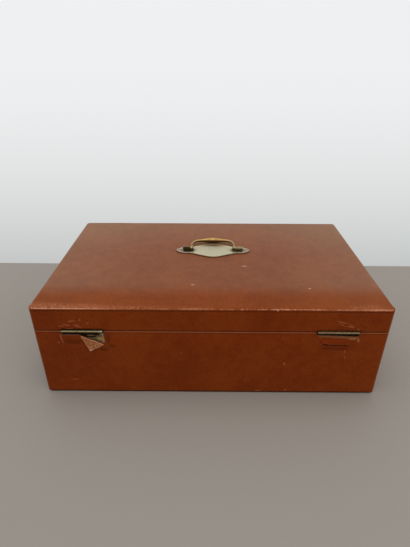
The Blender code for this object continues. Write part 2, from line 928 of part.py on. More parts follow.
def escutcheon():
    """Oval plate around the keyhole on the front."""
    centre = key_axis.z - key_bit_reach / 2
    face = chest_depth / 2 + gap
    turns = [math.radians(360) * step / oval_steps for step in range(oval_steps)]
    oval = [
        (escutcheon_width / 2 * math.cos(turn), centre + escutcheon_height / 2 * math.sin(turn))
        for turn in turns
    ]
    plate = outline_solid("escutcheon", [oval], face, face + escutcheon_thickness, upright=True)
    cut(plate, key_bore, key_slot)
    finish(plate, gilt_brass)


def link_screw_places():
    """Return the two screws of the link plate, as name and middle."""
    x = link_plate_width / 2 - screw_inset
    y = (inner_half_depth + lock_front) / 2
    return (("left", -x, y), ("right", x, y))


def link_plate():
    """Plate in the lid's rim, with two staples that hang into the lock."""
    back = inner_half_depth
    high = lid_rim + leather_thickness
    plate = box("link_plate", (-link_plate_width / 2, back, lid_rim), (link_plate_width / 2, lock_front, high))
    hole_low = bolt_high + gap + staple_foot
    hole_high = hole_low + gap + bolt_tongue_height + gap
    eye = bolt_tongue_thickness / 2 + gap
    half = eye + staple_wall
    staples = boxes("link_staples", [
        (
            (x - staple_thickness / 2, staple_middle - half, bolt_high + gap),
            (x + staple_thickness / 2, staple_middle + half, lid_rim + leather_thickness / 2),
        )
        for x in staple_lines()
    ])
    eyes = box(
        "staple_eyes_cutter",
        (-staple_spacing, staple_middle - eye, hole_low),
        (staple_spacing, staple_middle + eye, hole_high),
    )
    add(plate, staples)
    heads = rods("link_head_cutter", [
        ((x, y, lid_rim - overrun), (x, y, lid_rim + screw_head_thickness + gap), screw_head_radius + gap)
        for _, x, y in link_screw_places()
    ], small_sides)
    shanks = rods("link_shank_cutter", [
        ((x, y, lid_rim), (x, y, high + overrun), screw_shank_radius + gap) for _, x, y in link_screw_places()
    ], small_sides)
    cut(plate, eyes, heads, shanks)
    finish(plate, aged_brass, axis=lid_hinge)


def link_screws():
    """Screws that hold the link plate to the lid's front rail."""
    sizes = (screw_head_radius, screw_head_thickness, screw_shank_radius, screw_length)
    for name, x, y in link_screw_places():
        fastener(f"link_screw_{name}", (x, y, lid_rim), (0, 0, 1), sizes, steel, lid_hinge)


# Lid

def post_lines():
    """Return the X places of the two handle posts."""
    return {"left": handle_offset_x - post_spacing / 2, "right": handle_offset_x + post_spacing / 2}


def stud_holes():
    """Return the cutter for the studs of both handle posts."""
    return rods("stud_cutter", [
        ((x, handle_offset_y, top_board_low - overrun), (x, handle_offset_y, plate_high + overrun),
         stud_radius + gap)
        for x in post_lines().values()
    ], small_sides)


def lid_boards():
    """Top board and four rails of the lid."""
    top = rounded_block(
        "lid_top_board", board_half_width, board_half_depth, top_board_low, top_board_high,
        corner_radius - cover, 0, lid_edge_radius - cover,
    )
    nut_pockets = rods("nut_pocket_cutter", [
        ((x, handle_offset_y, top_board_low - overrun),
         (x, handle_offset_y, top_board_low + nut_thickness + gap), nut_radius + gap)
        for x in post_lines().values()
    ], small_sides)
    cut(top, studs_cutter, nut_pockets)
    finish(top, pine, axis=lid_hinge)
    back = long_board("lid_back_rail", -1, rail_low, rail_high, lid_hinge)
    cut(back, leaf_mortises, nail_shank_holes[1])
    front = long_board("lid_front_rail", 1, rail_low, rail_high, lid_hinge)
    link_shanks = rods("link_rail_cutter", [
        ((x, y, rail_low - overrun), (x, y, lid_rim + screw_length + gap), screw_shank_radius + gap)
        for _, x, y in link_screw_places()
    ], small_sides)
    cut(front, link_shanks)
    short_board("lid_left_rail", -1, rail_low, rail_high, lid_hinge)
    short_board("lid_right_rail", 1, rail_low, rail_high, lid_hinge)


def lid_leather():
    """Leather over the top and the sides of the lid, turned in over its rim."""
    shell = cover_shell(
        "lid_leather", lid_rim, chest_height, rim_edge_radius, lid_edge_radius,
        lid_rim - overrun, (lid_rim + chest_height) / 2,
    )
    cut(shell, barrel_slots, selvedge_notch, studs_cutter)
    finish(shell, leather, axis=lid_hinge)


def lid_linings():
    """Satin on the lid's rails and the padded panel under its top."""
    outer = rectangle(inner_half_width - gap, inner_half_depth - gap)
    inner = rectangle(lining_half_width, lining_half_depth)
    walls = outline_solid("lid_wall_lining", [outer, inner], rail_low, rail_high)
    finish(walls, satin, axis=lid_hinge)
    cushion = rounded_block(
        "lid_cushion", lining_half_width - gap, lining_half_depth - gap,
        top_board_low - gap - cushion_thickness, top_board_low - gap,
        cushion_corner_radius, cushion_edge_radius, 0,
    )
    finish(cushion, satin, axis=lid_hinge)


# Handle

plate_outline_shares = (
    (0.00, 1.00), (0.09, 0.97), (0.19, 0.89), (0.30, 0.77), (0.41, 0.65), (0.50, 0.54), (0.58, 0.46),
    (0.66, 0.42), (0.76, 0.43), (0.85, 0.37), (0.93, 0.24), (0.98, 0.11), (1.00, 0.00),
)


def plate_outline():
    """Return the outline of the handle plate: a lens with a waisted lobe at each end."""
    quarter = [(plate_length / 2 * x, plate_width / 2 * y) for x, y in plate_outline_shares]
    right = [(x, -y) for x, y in quarter] + [(x, y) for x, y in reversed(quarter[:-1])]
    left = [(-x, y) for x, y in quarter[1:]] + [(-x, -y) for x, y in reversed(quarter[1:-1])]
    return [(handle_offset_x + x, handle_offset_y + y) for x, y in right + left]


def handle_plate():
    """Plate under the handle, with a raised rim."""
    shape = bmesh.new()
    corners = [shape.verts.new((x, y, plate_low)) for x, y in plate_outline()]
    bmesh.ops.contextual_create(shape, geom=corners)
    grown = bmesh.ops.extrude_face_region(shape, geom=list(shape.faces))
    moved = [part for part in grown["geom"] if isinstance(part, bmesh.types.BMVert)]
    bmesh.ops.translate(shape, verts=moved, vec=(0, 0, plate_thickness + plate_rim_height))
    bmesh.ops.recalc_face_normals(shape, faces=shape.faces)
    top = [face for face in shape.faces if face.normal.z > 0.5]
    bmesh.ops.inset_region(shape, faces=top, thickness=plate_rim_width, depth=0, use_even_offset=True)
    top_face = max((face for face in shape.faces if face.normal.z > 0.5), key=lambda face: face.calc_area())
    bmesh.ops.inset_region(shape, faces=[top_face], thickness=plate_rim_slope, depth=-plate_rim_height)
    plate = mesh_object("handle_plate", shape)
    cut(plate, studs_cutter)
    finish(plate, plate_brass, axis=lid_hinge)


def turned(name, profile, sides):
    """Return a solid turned about Z from a profile of radius and height, listed from top to bottom."""
    shape = bmesh.new()
    points = [shape.verts.new((radius, 0, height)) for radius, height in profile]
    for start, end in zip(points, points[1:]):
        shape.edges.new((start, end))
    item = mesh_object(name, shape)
    screw = item.modifiers.new("turn", "SCREW")
    screw.steps = sides
    screw.render_steps = sides
    screw.use_merge_vertices = True
    screw.merge_threshold = gap / 10
    screw.use_normal_calculate = True
    mesh = evaluated_mesh(item)
    return bpy.data.objects.new(name, mesh)


def handle_post(name, x, inward):
    """Post of the handle: a turned barrel across, a foot with a toe, and a stud through the lid."""
    half = post_length / 2
    shoulder = half - post_bead_length
    profile = [
        (0, half), (post_bead_radius - gap, half), (post_bead_radius, half - gap),
        (post_bead_radius, shoulder), (post_waist_radius, shoulder - gap),
        (post_belly_radius, 0),
        (post_waist_radius, -shoulder + gap), (post_bead_radius, -shoulder),
        (post_bead_radius, -half + gap), (post_bead_radius - gap, -half), (0, -half),
    ]
    post = turned(name, profile, post_sides)
    post.rotation_euler.y = math.radians(90)
    post.location = (x, bail_axis.y, bail_axis.z)
    foot = box(
        f"{name}_foot",
        (x - post_foot_length / 2, bail_axis.y - post_foot_width / 2, plate_high + gap),
        (x + post_foot_length / 2, bail_axis.y + post_foot_width / 2, bail_axis.z),
    )
    toe = box(
        f"{name}_toe",
        (min(x, x + inward * (half + post_toe_length)), bail_axis.y - post_foot_width / 2, plate_high + gap),
        (max(x, x + inward * (half + post_toe_length)), bail_axis.y + post_foot_width / 2,
         plate_high + gap + post_toe_height),
    )
    stud = rods(f"{name}_stud", [(
        (x, bail_axis.y, top_board_low + gap),
        (x, bail_axis.y, plate_high + post_height / 2),
        stud_radius,
    )], small_sides)
    mouth = x + inward * (half + overrun)
    bottom = x + inward * (half - bail_pivot_length)
    bore = rods(f"{name}_bore_cutter", [(
        (mouth, bail_axis.y, bail_axis.z),
        (bottom - inward * gap, bail_axis.y, bail_axis.z),
        bail_pivot_radius + gap,
    )], small_sides)
    add(post, foot, toe, stud)
    cut(post, bore)
    finish(post, dark_bronze, axis=lid_hinge)


def handle_nuts():
    """Nuts on the studs, sunk in the underside of the top board."""
    for name, x in post_lines().items():
        nut = rods(f"handle_nut_{name}", [(
            (x, handle_offset_y, top_board_low),
            (x, handle_offset_y, top_board_low + nut_thickness),
            nut_radius,
        )], nut_sides)
        cut(nut, studs_cutter)
        finish(nut, steel, axis=lid_hinge)


def grip_rise(x, grip_start):
    """Return how far the grip bows out at a place, from nothing at its ends."""
    return bail_bow * (1 - (x / grip_start) ** 2)


def bail_half_path():
    """Return points and radii of half the bail, from the pivot's end to the middle of the grip."""
    half = bail_width / 2
    leg_start = bail_bend_radius
    leg_end = bail_reach - bail_corner_radius
    pivot_end = post_spacing / 2 - post_length / 2 + bail_pivot_length
    points = [((pivot_end, 0), bail_pivot_radius), ((half + bail_bend_radius, 0), bail_pivot_radius)]
    bend = arc((half + bail_bend_radius, bail_bend_radius), bail_bend_radius, 270, 180, 4)
    points += [(place, bail_foot_radius) for place in bend[1:]]
    points += [
        ((half, leg_start + bail_foot_length / 2), bail_foot_radius),
        ((half, leg_start + bail_foot_length), bail_leg_radius),
        ((half, leg_end), bail_leg_radius),
    ]
    corner = arc((half - bail_corner_radius, leg_end), bail_corner_radius, 0, 90, corner_steps)[1:]
    swell = bail_grip_radius - bail_leg_radius
    points += [
        (place, bail_leg_radius + swell * corner_swell_share * (n + 1) / corner_steps)
        for n, place in enumerate(corner)
    ]
    grip_start = half - bail_corner_radius
    collar = bail_collar_length / 2
    for n in range(1, grip_steps + 1):
        x = grip_start + (collar - grip_start) * n / grip_steps
        share = corner_swell_share + (1 - corner_swell_share) * n / grip_steps
        points.append(((x, bail_reach + grip_rise(x, grip_start)), bail_leg_radius + swell * share))
    for inset, radius in (
        (gap, bail_collar_radius),
        (gap + bail_bead_length, bail_collar_radius),
        (gap + bail_bead_length + gap, bail_grip_radius),
        (collar, bail_grip_radius + gap),
    ):
        points.append(((collar - inset, bail_reach + grip_rise(collar - inset, grip_start)), radius))
    return points


def bail():
    """Bail handle: one tapered wire with its ends turned out into the posts, folded to the front."""
    half = bail_half_path()
    path = half + [((-x, y), radius) for (x, y), radius in reversed(half[:-1])]
    curve = bpy.data.curves.new("bail", "CURVE")
    curve.dimensions = "3D"
    curve.bevel_depth = 1
    curve.bevel_resolution = 2
    curve.use_fill_caps = True
    spline = curve.splines.new("POLY")
    spline.points.add(len(path) - 1)
    for point, (place, radius) in zip(spline.points, path):
        point.co = (*place, 0, 1)
        point.radius = radius
    mesh = evaluated_mesh(bpy.data.objects.new("bail", curve))
    item = bpy.data.objects.new("bail", mesh)
    rest_height = chest_height + 2 * gap + bail_collar_radius
    item.location = bail_axis
    item.rotation_euler.x = -math.asin((bail_axis.z - rest_height) / bail_reach)
    finish(item, gilt_brass, axis=bail_hinge)


# Tray

def tray():
    """Lift-out tray: base, four walls, two slotted racks and two pull tabs."""
    inner_width = tray_half_width - tray_wall_thickness
    inner_depth = tray_half_depth - tray_wall_thickness
    base = box(
        "tray_base",
        (-tray_half_width, -tray_half_depth, tray_floor_level),
        (tray_half_width, tray_half_depth, tray_floor_level + tray_base_thickness),
    )
    finish(base, velvet, axis=tray_lift)
    for name, side in (("back", -1), ("front", 1)):
        outer = side * tray_half_depth
        inner = side * inner_depth
        wall = box(
            f"tray_{name}_wall",
            (-tray_half_width, min(outer, inner), tray_wall_low),
            (tray_half_width, max(outer, inner), tray_wall_high),
        )
        finish(wall, velvet, axis=tray_lift)
    for name, side in (("left", -1), ("right", 1)):
        outer = side * tray_half_width
        inner = side * inner_width
        half_depth = inner_depth - gap
        wall = box(
            f"tray_{name}_wall",
            (min(outer, inner), -half_depth, tray_wall_low),
            (max(outer, inner), half_depth, tray_wall_high),
        )
        finish(wall, velvet, axis=tray_lift)
        tab_outer = inner - side * gap
        tab_inner = tab_outer - side * tab_thickness
        tab_low = tray_wall_high - tab_glued_share * (tray_wall_high - tray_wall_low)
        tab = box(
            f"tray_tab_{name}",
            (min(tab_outer, tab_inner), -tab_width / 2, tab_low),
            (max(tab_outer, tab_inner), tab_width / 2, tray_wall_high + tab_rise),
        )
        finish(tab, ribbon, axis=tray_lift)
    for name, side in (("back", -1), ("front", 1)):
        centre = side * tray_rack_spacing / 2
        half_width = inner_width - 2 * gap - tab_thickness
        comb(
            f"tray_rack_{name}",
            (-half_width, centre - tray_rack_thickness / 2, tray_wall_low),
            (half_width, centre + tray_rack_thickness / 2, tray_wall_low + tray_rack_height),
            0, tray_slot_count, tray_slot_width, tray_slot_depth, tray_lift,
        )


studs_cutter = stud_holes()

base_felt()
base_board()
body_boards()
body_leather()
torn_flap()
body_linings()
lower_racks()
tray_ledges()
for hinge_side in hinge_sides:
    hinge_leaf(f"body_hinge_leaf_{hinge_side}", hinge_side, "body")
    hinge_leaf(f"lid_hinge_leaf_{hinge_side}", hinge_side, "lid", lid_hinge)
hinge_pins()
hinge_nails("body", -1)
hinge_nails("lid", 1, lid_hinge)
lock_case()
lock_screws()
lock_bolt()
key()
escutcheon()
lid_boards()
lid_leather()
lid_linings()
link_plate()
link_screws()
handle_plate()
for post_side, post_x in post_lines().items():
    handle_post(f"handle_post_{post_side}", post_x, 1 if post_side == "left" else -1)
handle_nuts()
bail()
tray()
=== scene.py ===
"""Cutlery chest: leather covers, fittings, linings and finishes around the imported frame, on a plain stage.

Lengths are in metres. X runs along the chest, Y from its hinges to its lock, and Z up from the table.
"""

import json
import math

import bmesh
import bpy
from bpy.props import FloatProperty, FloatVectorProperty, PointerProperty
from bpy.types import Operator, Panel, PropertyGroup
from mathutils import Matrix, Vector, noise


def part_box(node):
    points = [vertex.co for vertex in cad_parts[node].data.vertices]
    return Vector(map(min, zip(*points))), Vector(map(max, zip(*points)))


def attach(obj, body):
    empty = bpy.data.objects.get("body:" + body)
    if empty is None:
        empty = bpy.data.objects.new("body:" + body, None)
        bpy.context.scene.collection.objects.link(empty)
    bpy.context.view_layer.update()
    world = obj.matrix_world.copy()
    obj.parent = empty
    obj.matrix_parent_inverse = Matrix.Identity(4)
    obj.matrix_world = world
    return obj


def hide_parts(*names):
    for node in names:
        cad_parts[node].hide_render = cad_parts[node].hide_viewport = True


bl_info = {
    "name": "Cutlery chest",
    "version": (1, 0, 0),
    "blender": (4, 5, 0),
    "location": "View3D > Sidebar > Chest",
    "description": "Leather covers, handle, linings and finishes of a cutlery chest",
    "category": "Object",
}

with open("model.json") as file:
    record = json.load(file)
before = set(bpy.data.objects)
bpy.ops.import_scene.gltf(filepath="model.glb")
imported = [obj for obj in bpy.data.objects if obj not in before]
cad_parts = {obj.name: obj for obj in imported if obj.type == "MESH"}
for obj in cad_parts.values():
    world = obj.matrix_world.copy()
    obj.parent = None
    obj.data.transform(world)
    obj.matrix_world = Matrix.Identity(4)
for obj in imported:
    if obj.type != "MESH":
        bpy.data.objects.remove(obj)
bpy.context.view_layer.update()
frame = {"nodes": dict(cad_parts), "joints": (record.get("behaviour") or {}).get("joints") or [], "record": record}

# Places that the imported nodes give

body_low, body_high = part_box("body_leather")
lid_low, lid_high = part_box("lid_leather")
seam = (body_high.z + lid_low.z) / 2
back = body_low.y
hinge_spans = [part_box(f"lid_hinge_leaf_{side}") for side in ("left", "right")]
hinge_middles = [(low.x + high.x) / 2 for low, high in hinge_spans]
hinge_half = (hinge_spans[0][1].x - hinge_spans[0][0].x) / 2
leaf_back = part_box("body_hinge_leaf_left")[1].y
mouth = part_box("wall_lining")[1]
lock_low, lock_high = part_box("lock_case")
bail_axis = Vector(next(row for row in frame["joints"] if row["name"] == "bail_swing")["pos_m"])

# Lengths that several pieces share

touch = 0.00005
slot_top = 0.0019
hinge_reach = 0.034
hinge_drop = 0.042
ledge_drop = 0.0188


# Sizes and colours that a user would change

def length(name, description, default):
    """Return a length property."""
    return FloatProperty(
        name=name, description=description, default=default, min=0, unit="LENGTH", precision=5
    )


def colour(name, description, *default):
    """Return a colour property."""
    return FloatVectorProperty(
        name=name, description=description, default=default, min=0, max=1, size=3, subtype="COLOR"
    )


class ChestSizes(PropertyGroup):
    """Sizes of the pieces that are made around the frame."""

    leather: length("Leather", "Thickness of the leather covers", 0.0012)
    corner: length("Corner", "Radius of the upright corners", 0.0065)
    lid_edge: length("Lid edge", "Radius of the lid's upper edge over the hinges", 0.0021)
    lid_side_edge: length("Lid side edge", "Radius of the lid's upper edge at its sides and front", 0.0044)
    rim_edge: length("Rim edge", "Radius of the edges at the seam and under the base", 0.0010)
    unevenness: length("Unevenness", "How far the leather strays from flat", 0.00013)
    slot_clearance: length("Slot clearance", "Room between a hinge barrel and the leather", 0.0005)
    flap: length("Flap", "Thickness of the torn flap", 0.0009)
    flap_lift: length("Flap lift", "How far the tip of the torn flap stands off the back", 0.0026)
    plate_rim: length("Plate rim", "Width of the raised rim of the handle plate", 0.0012)
    lining: length("Lining", "Thickness of the velvet and satin linings", 0.0009)
    pad_crown: length("Pad crown", "How far the pad in the lid bulges between its edges", 0.0030)
    ribbon: length("Ribbon", "Thickness of the tray's pull tabs", 0.00035)
    softening: length("Softening", "Radius of the edges of the covered tray and racks", 0.0007)
    hinge_edge: length("Hinge edge", "Radius of the edges of the hinges", 0.00015)


class ChestColours(PropertyGroup):
    """Colours of the finishes."""

    leather_dark: colour("Dark leather", "Leather in its deeper patches", 0.176, 0.0265, 0.0030)
    leather_light: colour("Light leather", "Leather in its lighter patches", 0.216, 0.0375, 0.0048)
    leather_worn: colour("Worn leather", "Rubbed edges and scuffs", 0.460, 0.170, 0.085)
    # Also a painted highlight: the crest stands for the lit sharp edge as well as rubbed leather.
    leather_crest: colour("Worn crest", "Line rubbed bare along the lid's upper edge", 0.580, 0.260, 0.160)
    # Also the colour of painted shade along the seam, at the foot and in some patches on the back.
    leather_crease: colour("Creased leather", "Dirt in creases and torn lines", 0.040, 0.007, 0.002)
    flesh: colour("Flesh side", "Underside of the torn leather", 0.420, 0.155, 0.052)
    # Also a painted highlight at the flap's tip.
    flesh_light: colour("Flesh edge", "Frayed edges of the torn leather", 0.570, 0.275, 0.150)
    brass: colour("Brass", "Hinges", 0.350, 0.285, 0.170)
    # Used as painted shade on the lower barrels and the leaves behind them.
    brass_dark: colour("Dark brass", "Tarnish on the hinges", 0.016, 0.010, 0.003)
    gilt: colour("Gilding", "Bail and escutcheon", 0.430, 0.270, 0.100)
    gilt_dark: colour("Worn gilding", "Brown brass under the gilding", 0.260, 0.135, 0.038)
    plate: colour("Plate", "Handle plate", 0.570, 0.520, 0.365)
    # Tarnish with painted shade, around the handle's posts.
    plate_dark: colour("Tarnished plate", "Tarnish on the handle plate", 0.130, 0.095, 0.045)
    plate_brown: colour("Plate lobes", "Ornament on the lobes of the handle plate", 0.280, 0.210, 0.145)
    bronze: colour("Bronze", "Posts of the handle", 0.030, 0.021, 0.006)
    steel: colour("Steel", "Key, lock and screws", 0.420, 0.410, 0.390)
    wood: colour("Wood", "Bare boards", 0.560, 0.380, 0.200)
    velvet: colour("Velvet", "Lining and racks", 0.085, 0.012, 0.022)
    satin: colour("Satin", "Lid lining", 0.640, 0.540, 0.400)
    ribbon: colour("Ribbon", "Pull tabs", 0.330, 0.030, 0.040)
    felt: colour("Felt", "Under the base", 0.075, 0.045, 0.032)
    table: colour("Table", "Floor in front of the backdrop", 0.300, 0.268, 0.236)
    backdrop: colour("Backdrop", "Floor and world behind the chest", 0.863, 0.871, 0.880)
    # Painted shade for the glowing backdrop near the table.
    backdrop_low: colour("Lower backdrop", "Backdrop where it meets the table", 0.552, 0.565, 0.558)


# Shader maths

def arithmetic(operation, swapped=False):
    """Return a method of Signal that adds one Math node."""
    def method(self, *others):
        values = (*others, self) if swapped else (self, *others)
        return self.finish.node("Math", {"operation": operation}, dict(enumerate(values)))
    return method


class Signal:
    """An output of a node, worked with as a number is."""

    def __init__(self, finish, socket):
        self.finish = finish
        self.socket = socket

    __add__ = __radd__ = arithmetic("ADD")
    __mul__ = __rmul__ = arithmetic("MULTIPLY")
    __sub__ = arithmetic("SUBTRACT")
    __rsub__ = arithmetic("SUBTRACT", swapped=True)
    __rtruediv__ = arithmetic("DIVIDE", swapped=True)
    __pow__ = arithmetic("POWER")
    __abs__ = arithmetic("ABSOLUTE")
    least = arithmetic("MINIMUM")
    most = arithmetic("MAXIMUM")
    sine = arithmetic("SINE")

    def wave(self):
        """Return waves from 0 to 1."""
        return self.sine() * 0.5 + 0.5

    def rise(self, low, high):
        """Return 0 below low and 1 above high, eased between, or the reverse where low is above high."""
        sockets = {"Value": self, "From Min": min(low, high), "From Max": max(low, high)}
        sockets.update({"To Min": float(low > high), "To Max": float(low < high)})
        return self.finish.node("MapRange", {"interpolation_type": "SMOOTHSTEP"}, sockets)


def strongest(mask, *others):
    """Return the highest of some masks."""
    for other in others:
        mask = mask.most(other)
    return mask


class Nodes:
    """The nodes of a material or world in the making."""

    def __init__(self, made):
        self.made = made
        made.use_nodes = True
        self.tree = made.node_tree

    def node(self, kind, settings=None, sockets=None, out=0):
        """Add a node, its settings first and then its sockets' values or links, and return an output."""
        made = self.tree.nodes.new("ShaderNode" + kind)
        for name, value in (settings or {}).items():
            setattr(made, name, value)
        for name, value in (sockets or {}).items():
            if isinstance(value, Signal):
                self.tree.links.new(value.socket, made.inputs[name])
            else:
                made.inputs[name].default_value = value
        return Signal(self, made.outputs[out])

    def blend(self, mask, under, over):
        """Lay one shader over another by a mask, and make that the look."""
        mixed = self.node("MixShader", None, {0: mask, 1: under, 2: over})
        output = next(node for node in self.tree.nodes if node.type.startswith("OUTPUT"))
        self.tree.links.new(mixed.socket, output.inputs["Surface"])

    def rays(self, *kinds):
        """Return 1 where any of some kinds of ray meets the surface."""
        outputs = self.node("LightPath").socket.node.outputs
        return strongest(*(Signal(self, outputs[f"Is {kind} Ray"]) for kind in kinds))


class Finish(Nodes):
    """A procedural finish in the making, with its pattern fixed to the piece."""

    def __init__(self, name, base, **fixed):
        super().__init__(bpy.data.materials.new(name))
        self.base = base
        self.shader = self.tree.nodes["Principled BSDF"]
        for socket, value in fixed.items():
            self.shader.inputs[socket.replace("_", " ")].default_value = value
        self.place = self.node("TexCoord", out="Object")

    def axes(self, wanted="XYZ"):
        """Return the place along each wanted axis."""
        split = self.node("SeparateXYZ", None, {0: self.place}).socket.node
        return [Signal(self, split.outputs[axis]) for axis in wanted]

    def noise(self, scale, detail=2, roughness=0.5):
        """Return soft noise from 0 to 1, drawn out where each axis has a scale of its own."""
        place = self.place
        if isinstance(scale, tuple):
            place = self.node("Mapping", None, {"Vector": place, "Scale": scale})
            scale = 1
        sockets = {"Vector": place, "Scale": scale, "Detail": detail, "Roughness": roughness}
        return self.node("TexNoise", None, sockets, "Fac")

    def layer(self, name):
        """Return a value that the piece's vertices carry."""
        return self.node("Attribute", {"attribute_name": name}, None, "Fac")

    def marked(self, marks, stray, outer, inner):
        """Return 1 in some marks and 0 outside, both ends in their half-lengths, with an edge that strays."""
        nearest = None
        for centre, half, *tilt in marks:
            turn = (0, -math.radians(sum(tilt)), 0)
            sockets = {"Vector": self.place, "Location": centre, "Rotation": turn, "Scale": half}
            scaled = self.node("Mapping", {"vector_type": "TEXTURE"}, sockets)
            found = self.node("VectorMath", {"operation": "LENGTH"}, {0: scaled}, "Value")
            nearest = nearest.least(found) if nearest else found
        return (nearest + stray).rise(outer, inner)

    def tint(self, mask, under, over):
        """Return one colour laid over another by a mask, through the Mix node's sockets for colours."""
        under, over = (tone if isinstance(tone, Signal) else (*tone, 1) for tone in (under, over))
        return self.node("Mix", {"data_type": "RGBA"}, {0: mask, 6: under, 7: over}, 2)

    def lay(self, *layers):
        """Lay colours over what is there, each by its mask."""
        for mask, over in layers:
            self.base = self.tint(mask, self.base, over)

    def relief(self, height, distance, under=None):
        """Return normals bumped by a height."""
        sockets = {"Height": height, "Distance": distance, "Strength": 1}
        if under:
            sockets["Normal"] = under
        return self.node("Bump", None, sockets)

    def paint(self, roughness=None, normal=None):
        """Lead the colour, and where given the roughness and normals, into the shader."""
        for name, signal in (("Base Color", self.base), ("Roughness", roughness), ("Normal", normal)):
            if signal:
                self.tree.links.new(signal.socket, self.shader.inputs[name])
        return self.made


# Marks in millimetres: X, height above the seam or Y, two half-lengths, and for some their tilt in degrees

scuffs = (
    (-162.5, 14.1, 5.5, 0.8, 12), (-168, 8.5, 4.8, 0.7, -10), (-157, 8.3, 4.0, 0.7, -5),
    (-174.5, 6.8, 4.0, 0.7, -3), (-154.5, 6.0, 4.6, 0.7, -18), (-165.5, 3.6, 4.5, 0.6, -2),
    (-151.8, 15.8, 1.3, 1.3), (-143.4, 11.1, 1.5, 1.1), (-177.4, -11.5, 8.2, 0.75, -79.5),
    (-176.1, -6.8, 3.2, 0.7, 48), (-181.5, -17.2, 2.4, 0.6, 90), (151.0, 14.6, 7.8, 0.75, -16),
    (151.2, 11.0, 5.2, 0.6, -29), (160.7, 8.4, 4.8, 0.75, -16), (-171, -75.7, 5.5, 0.6, 4),
    (60, -93.0, 4.0, 0.8), (95.5, -91.3, 2.2, 1.0), (90, -48, 1.0, 2.6), (-36, -32, 1.3, 0.7),
    (162.5, 10.0, 5.6, 0.6, -37), (171.2, 4.4, 2.2, 0.8, -58), (160.6, -28.5, 3.4, 0.6, 90),
    (162.0, -37.5, 2.4, 0.5, 90),
)
tan_strips = ((167, -8.6, 6.0, 1.9), (173.9, -11.2, 1.5, 2.9))
# Reddish streaks; the strip above the right hinge's crease is a painted highlight on the raised leather.
red_streaks_and_highlight = (
    (-158, 5.8, 12, 0.9), (134, -14.6, 5.0, 1.9), (150, -12.0, 14, 1.4),
    (140, 10.5, 7.0, 0.8), (-150, -27, 6.0, 1.2), (166, -24, 7.0, 1.0),
)
# Darker patches on the back: partly dark leather, partly painted shade beside and below the torn flap and below
# the right hinge's crease.
dark_and_shaded_patches = (
    (-163, -16, 11, 4.6), (-122, -11.5, 2.8, 8.5), (-119, -22, 4.5, 3.0),
    (-128, -27, 6.0, 3.6), (150, -24, 22, 3.0),
)
creases = (
    (130.5, -14.2, 3.4, 0.5, -52), (136.5, -17.6, 5.2, 1.3, -13),
    (148, -18.8, 9.0, 1.4, -2), (158.5, -19.3, 6.0, 1.1, -5),
)
lid_specks = ((45, -27, 4.2, 1.2), (121, -85, 2.4, 1.1), (-23, -77, 2.6, 1.2), (75.5, -131, 2.0, 1.6))
# Painted shadow on the lid between the bail and its plate.
shade_behind_plate = ((3, 41.5, 28, 10),)
wood_stain = ((-140, -12, 18, 16),)
wood_glue = ((-132.2, -10.5, 3.8, 4.6),)
torn_wood = ((-128, -12.5, 2.6, 8.0),)
bare_leaf = ((-133, -9.8, 4.0, 2.8), (-129, -7.2, 3.6, 4.8), (-142, -7.5, 6.0, 1.0))
mm = 0.001
leather_depth = 0.004
leaf_depth = 0.006
wood_depth = 0.012


def on_back(marks, depth=leather_depth):
    """Return marks on the back, given by X and height above the seam, as centres and half-lengths."""
    return [
        ((x * mm, back, seam + z * mm), (half_x * mm, depth, half_z * mm), *tilt)
        for x, z, half_x, half_z, *tilt in marks
    ]


def on_top(marks):
    """Return marks on the lid, given by X and Y, as centres and half-lengths."""
    return [
        ((x * mm, y * mm, lid_high.z), (half_x * mm, half_y * mm, leather_depth))
        for x, y, half_x, half_y in marks
    ]


# Finishes

def foot_of(leather):
    """Return how far the place is from the lower edge of the chest."""
    x, y, z = leather.axes()
    side = (body_high.x - abs(x)).least(body_high.y - abs(y))
    return (z - body_low.z).most(side - 0.0010)


def edge_wear(leather, rub, long_rub):
    """Return where the leather is rubbed along its edges and dusty over the hinges, with a sheen painted over that
    dust and a highlight painted along the body's rim under the seam.
    """
    x, y, z = leather.axes()
    from_back, from_top = y - back, lid_high.z - z
    from_side, from_front = body_high.x - abs(x), body_high.y - abs(y)
    edge = from_top.most(from_side.least(from_front)) + rub * 0.005 + long_rub * 0.004
    foot = foot_of(leather)
    stipple = leather.noise((760, 190, 760), 2, 0.6)
    brushed = (from_back + long_rub * 0.010).rise(0.012, 0.003) * abs(x - 0.176).rise(0.024, 0.012) * 0.6
    dust_and_sheen = (from_back + long_rub * 0.010 + (x + 0.2) * 0.05).rise(0.015, 0.003)
    dust_and_sheen = dust_and_sheen.most(brushed) * from_top.rise(0.0030, 0.0010)
    return strongest(
        (edge + from_back * 0.3).rise(0.0014, 0.0004),
        # Dust near the lid's back edge, with a painted sheen on its grain.
        dust_and_sheen * (0.12 + stipple.rise(0.44, 0.60) * 0.68),
        (from_side.most(from_front) + rub * 0.006).rise(0.0031, 0.0022) * 0.30,
        (foot + rub * 0.005).rise(0.0016, 0.0004) * 0.5,
        # Painted highlight along the body's rounded rim just under the seam.
        (abs(z - seam + 0.0007) + rub * 0.0004).rise(0.0008, 0.0004) * 0.40,
    )


def dirt_lines(leather, rub):
    """Return dark lines: painted shade in the gap of the seam, a fainter darker line just below the seam, a darker
    line under the lid's upper edge, and a painted contact shadow along the foot.
    """
    x, z = leather.axes("XZ")
    above_seam = z - seam
    return strongest(
        # Painted shade in the seam's gap, on the lid's lower edge.
        abs(above_seam - 0.0007).rise(0.0012, 0.0006) * 0.75,
        (abs(above_seam + 0.0024) + rub * 0.001).rise(0.0010, 0.0003) * 0.35,
        (abs(lid_high.z - z - 0.0034) + rub * 0.001).rise(0.0014, 0.0004) * 0.45,
        # Painted contact shadow along the foot, except near the corners.
        (foot_of(leather) + rub * 0.0006).rise(0.0027, 0.0018) * abs(x).rise(0.205, 0.200) * 0.9,
    )


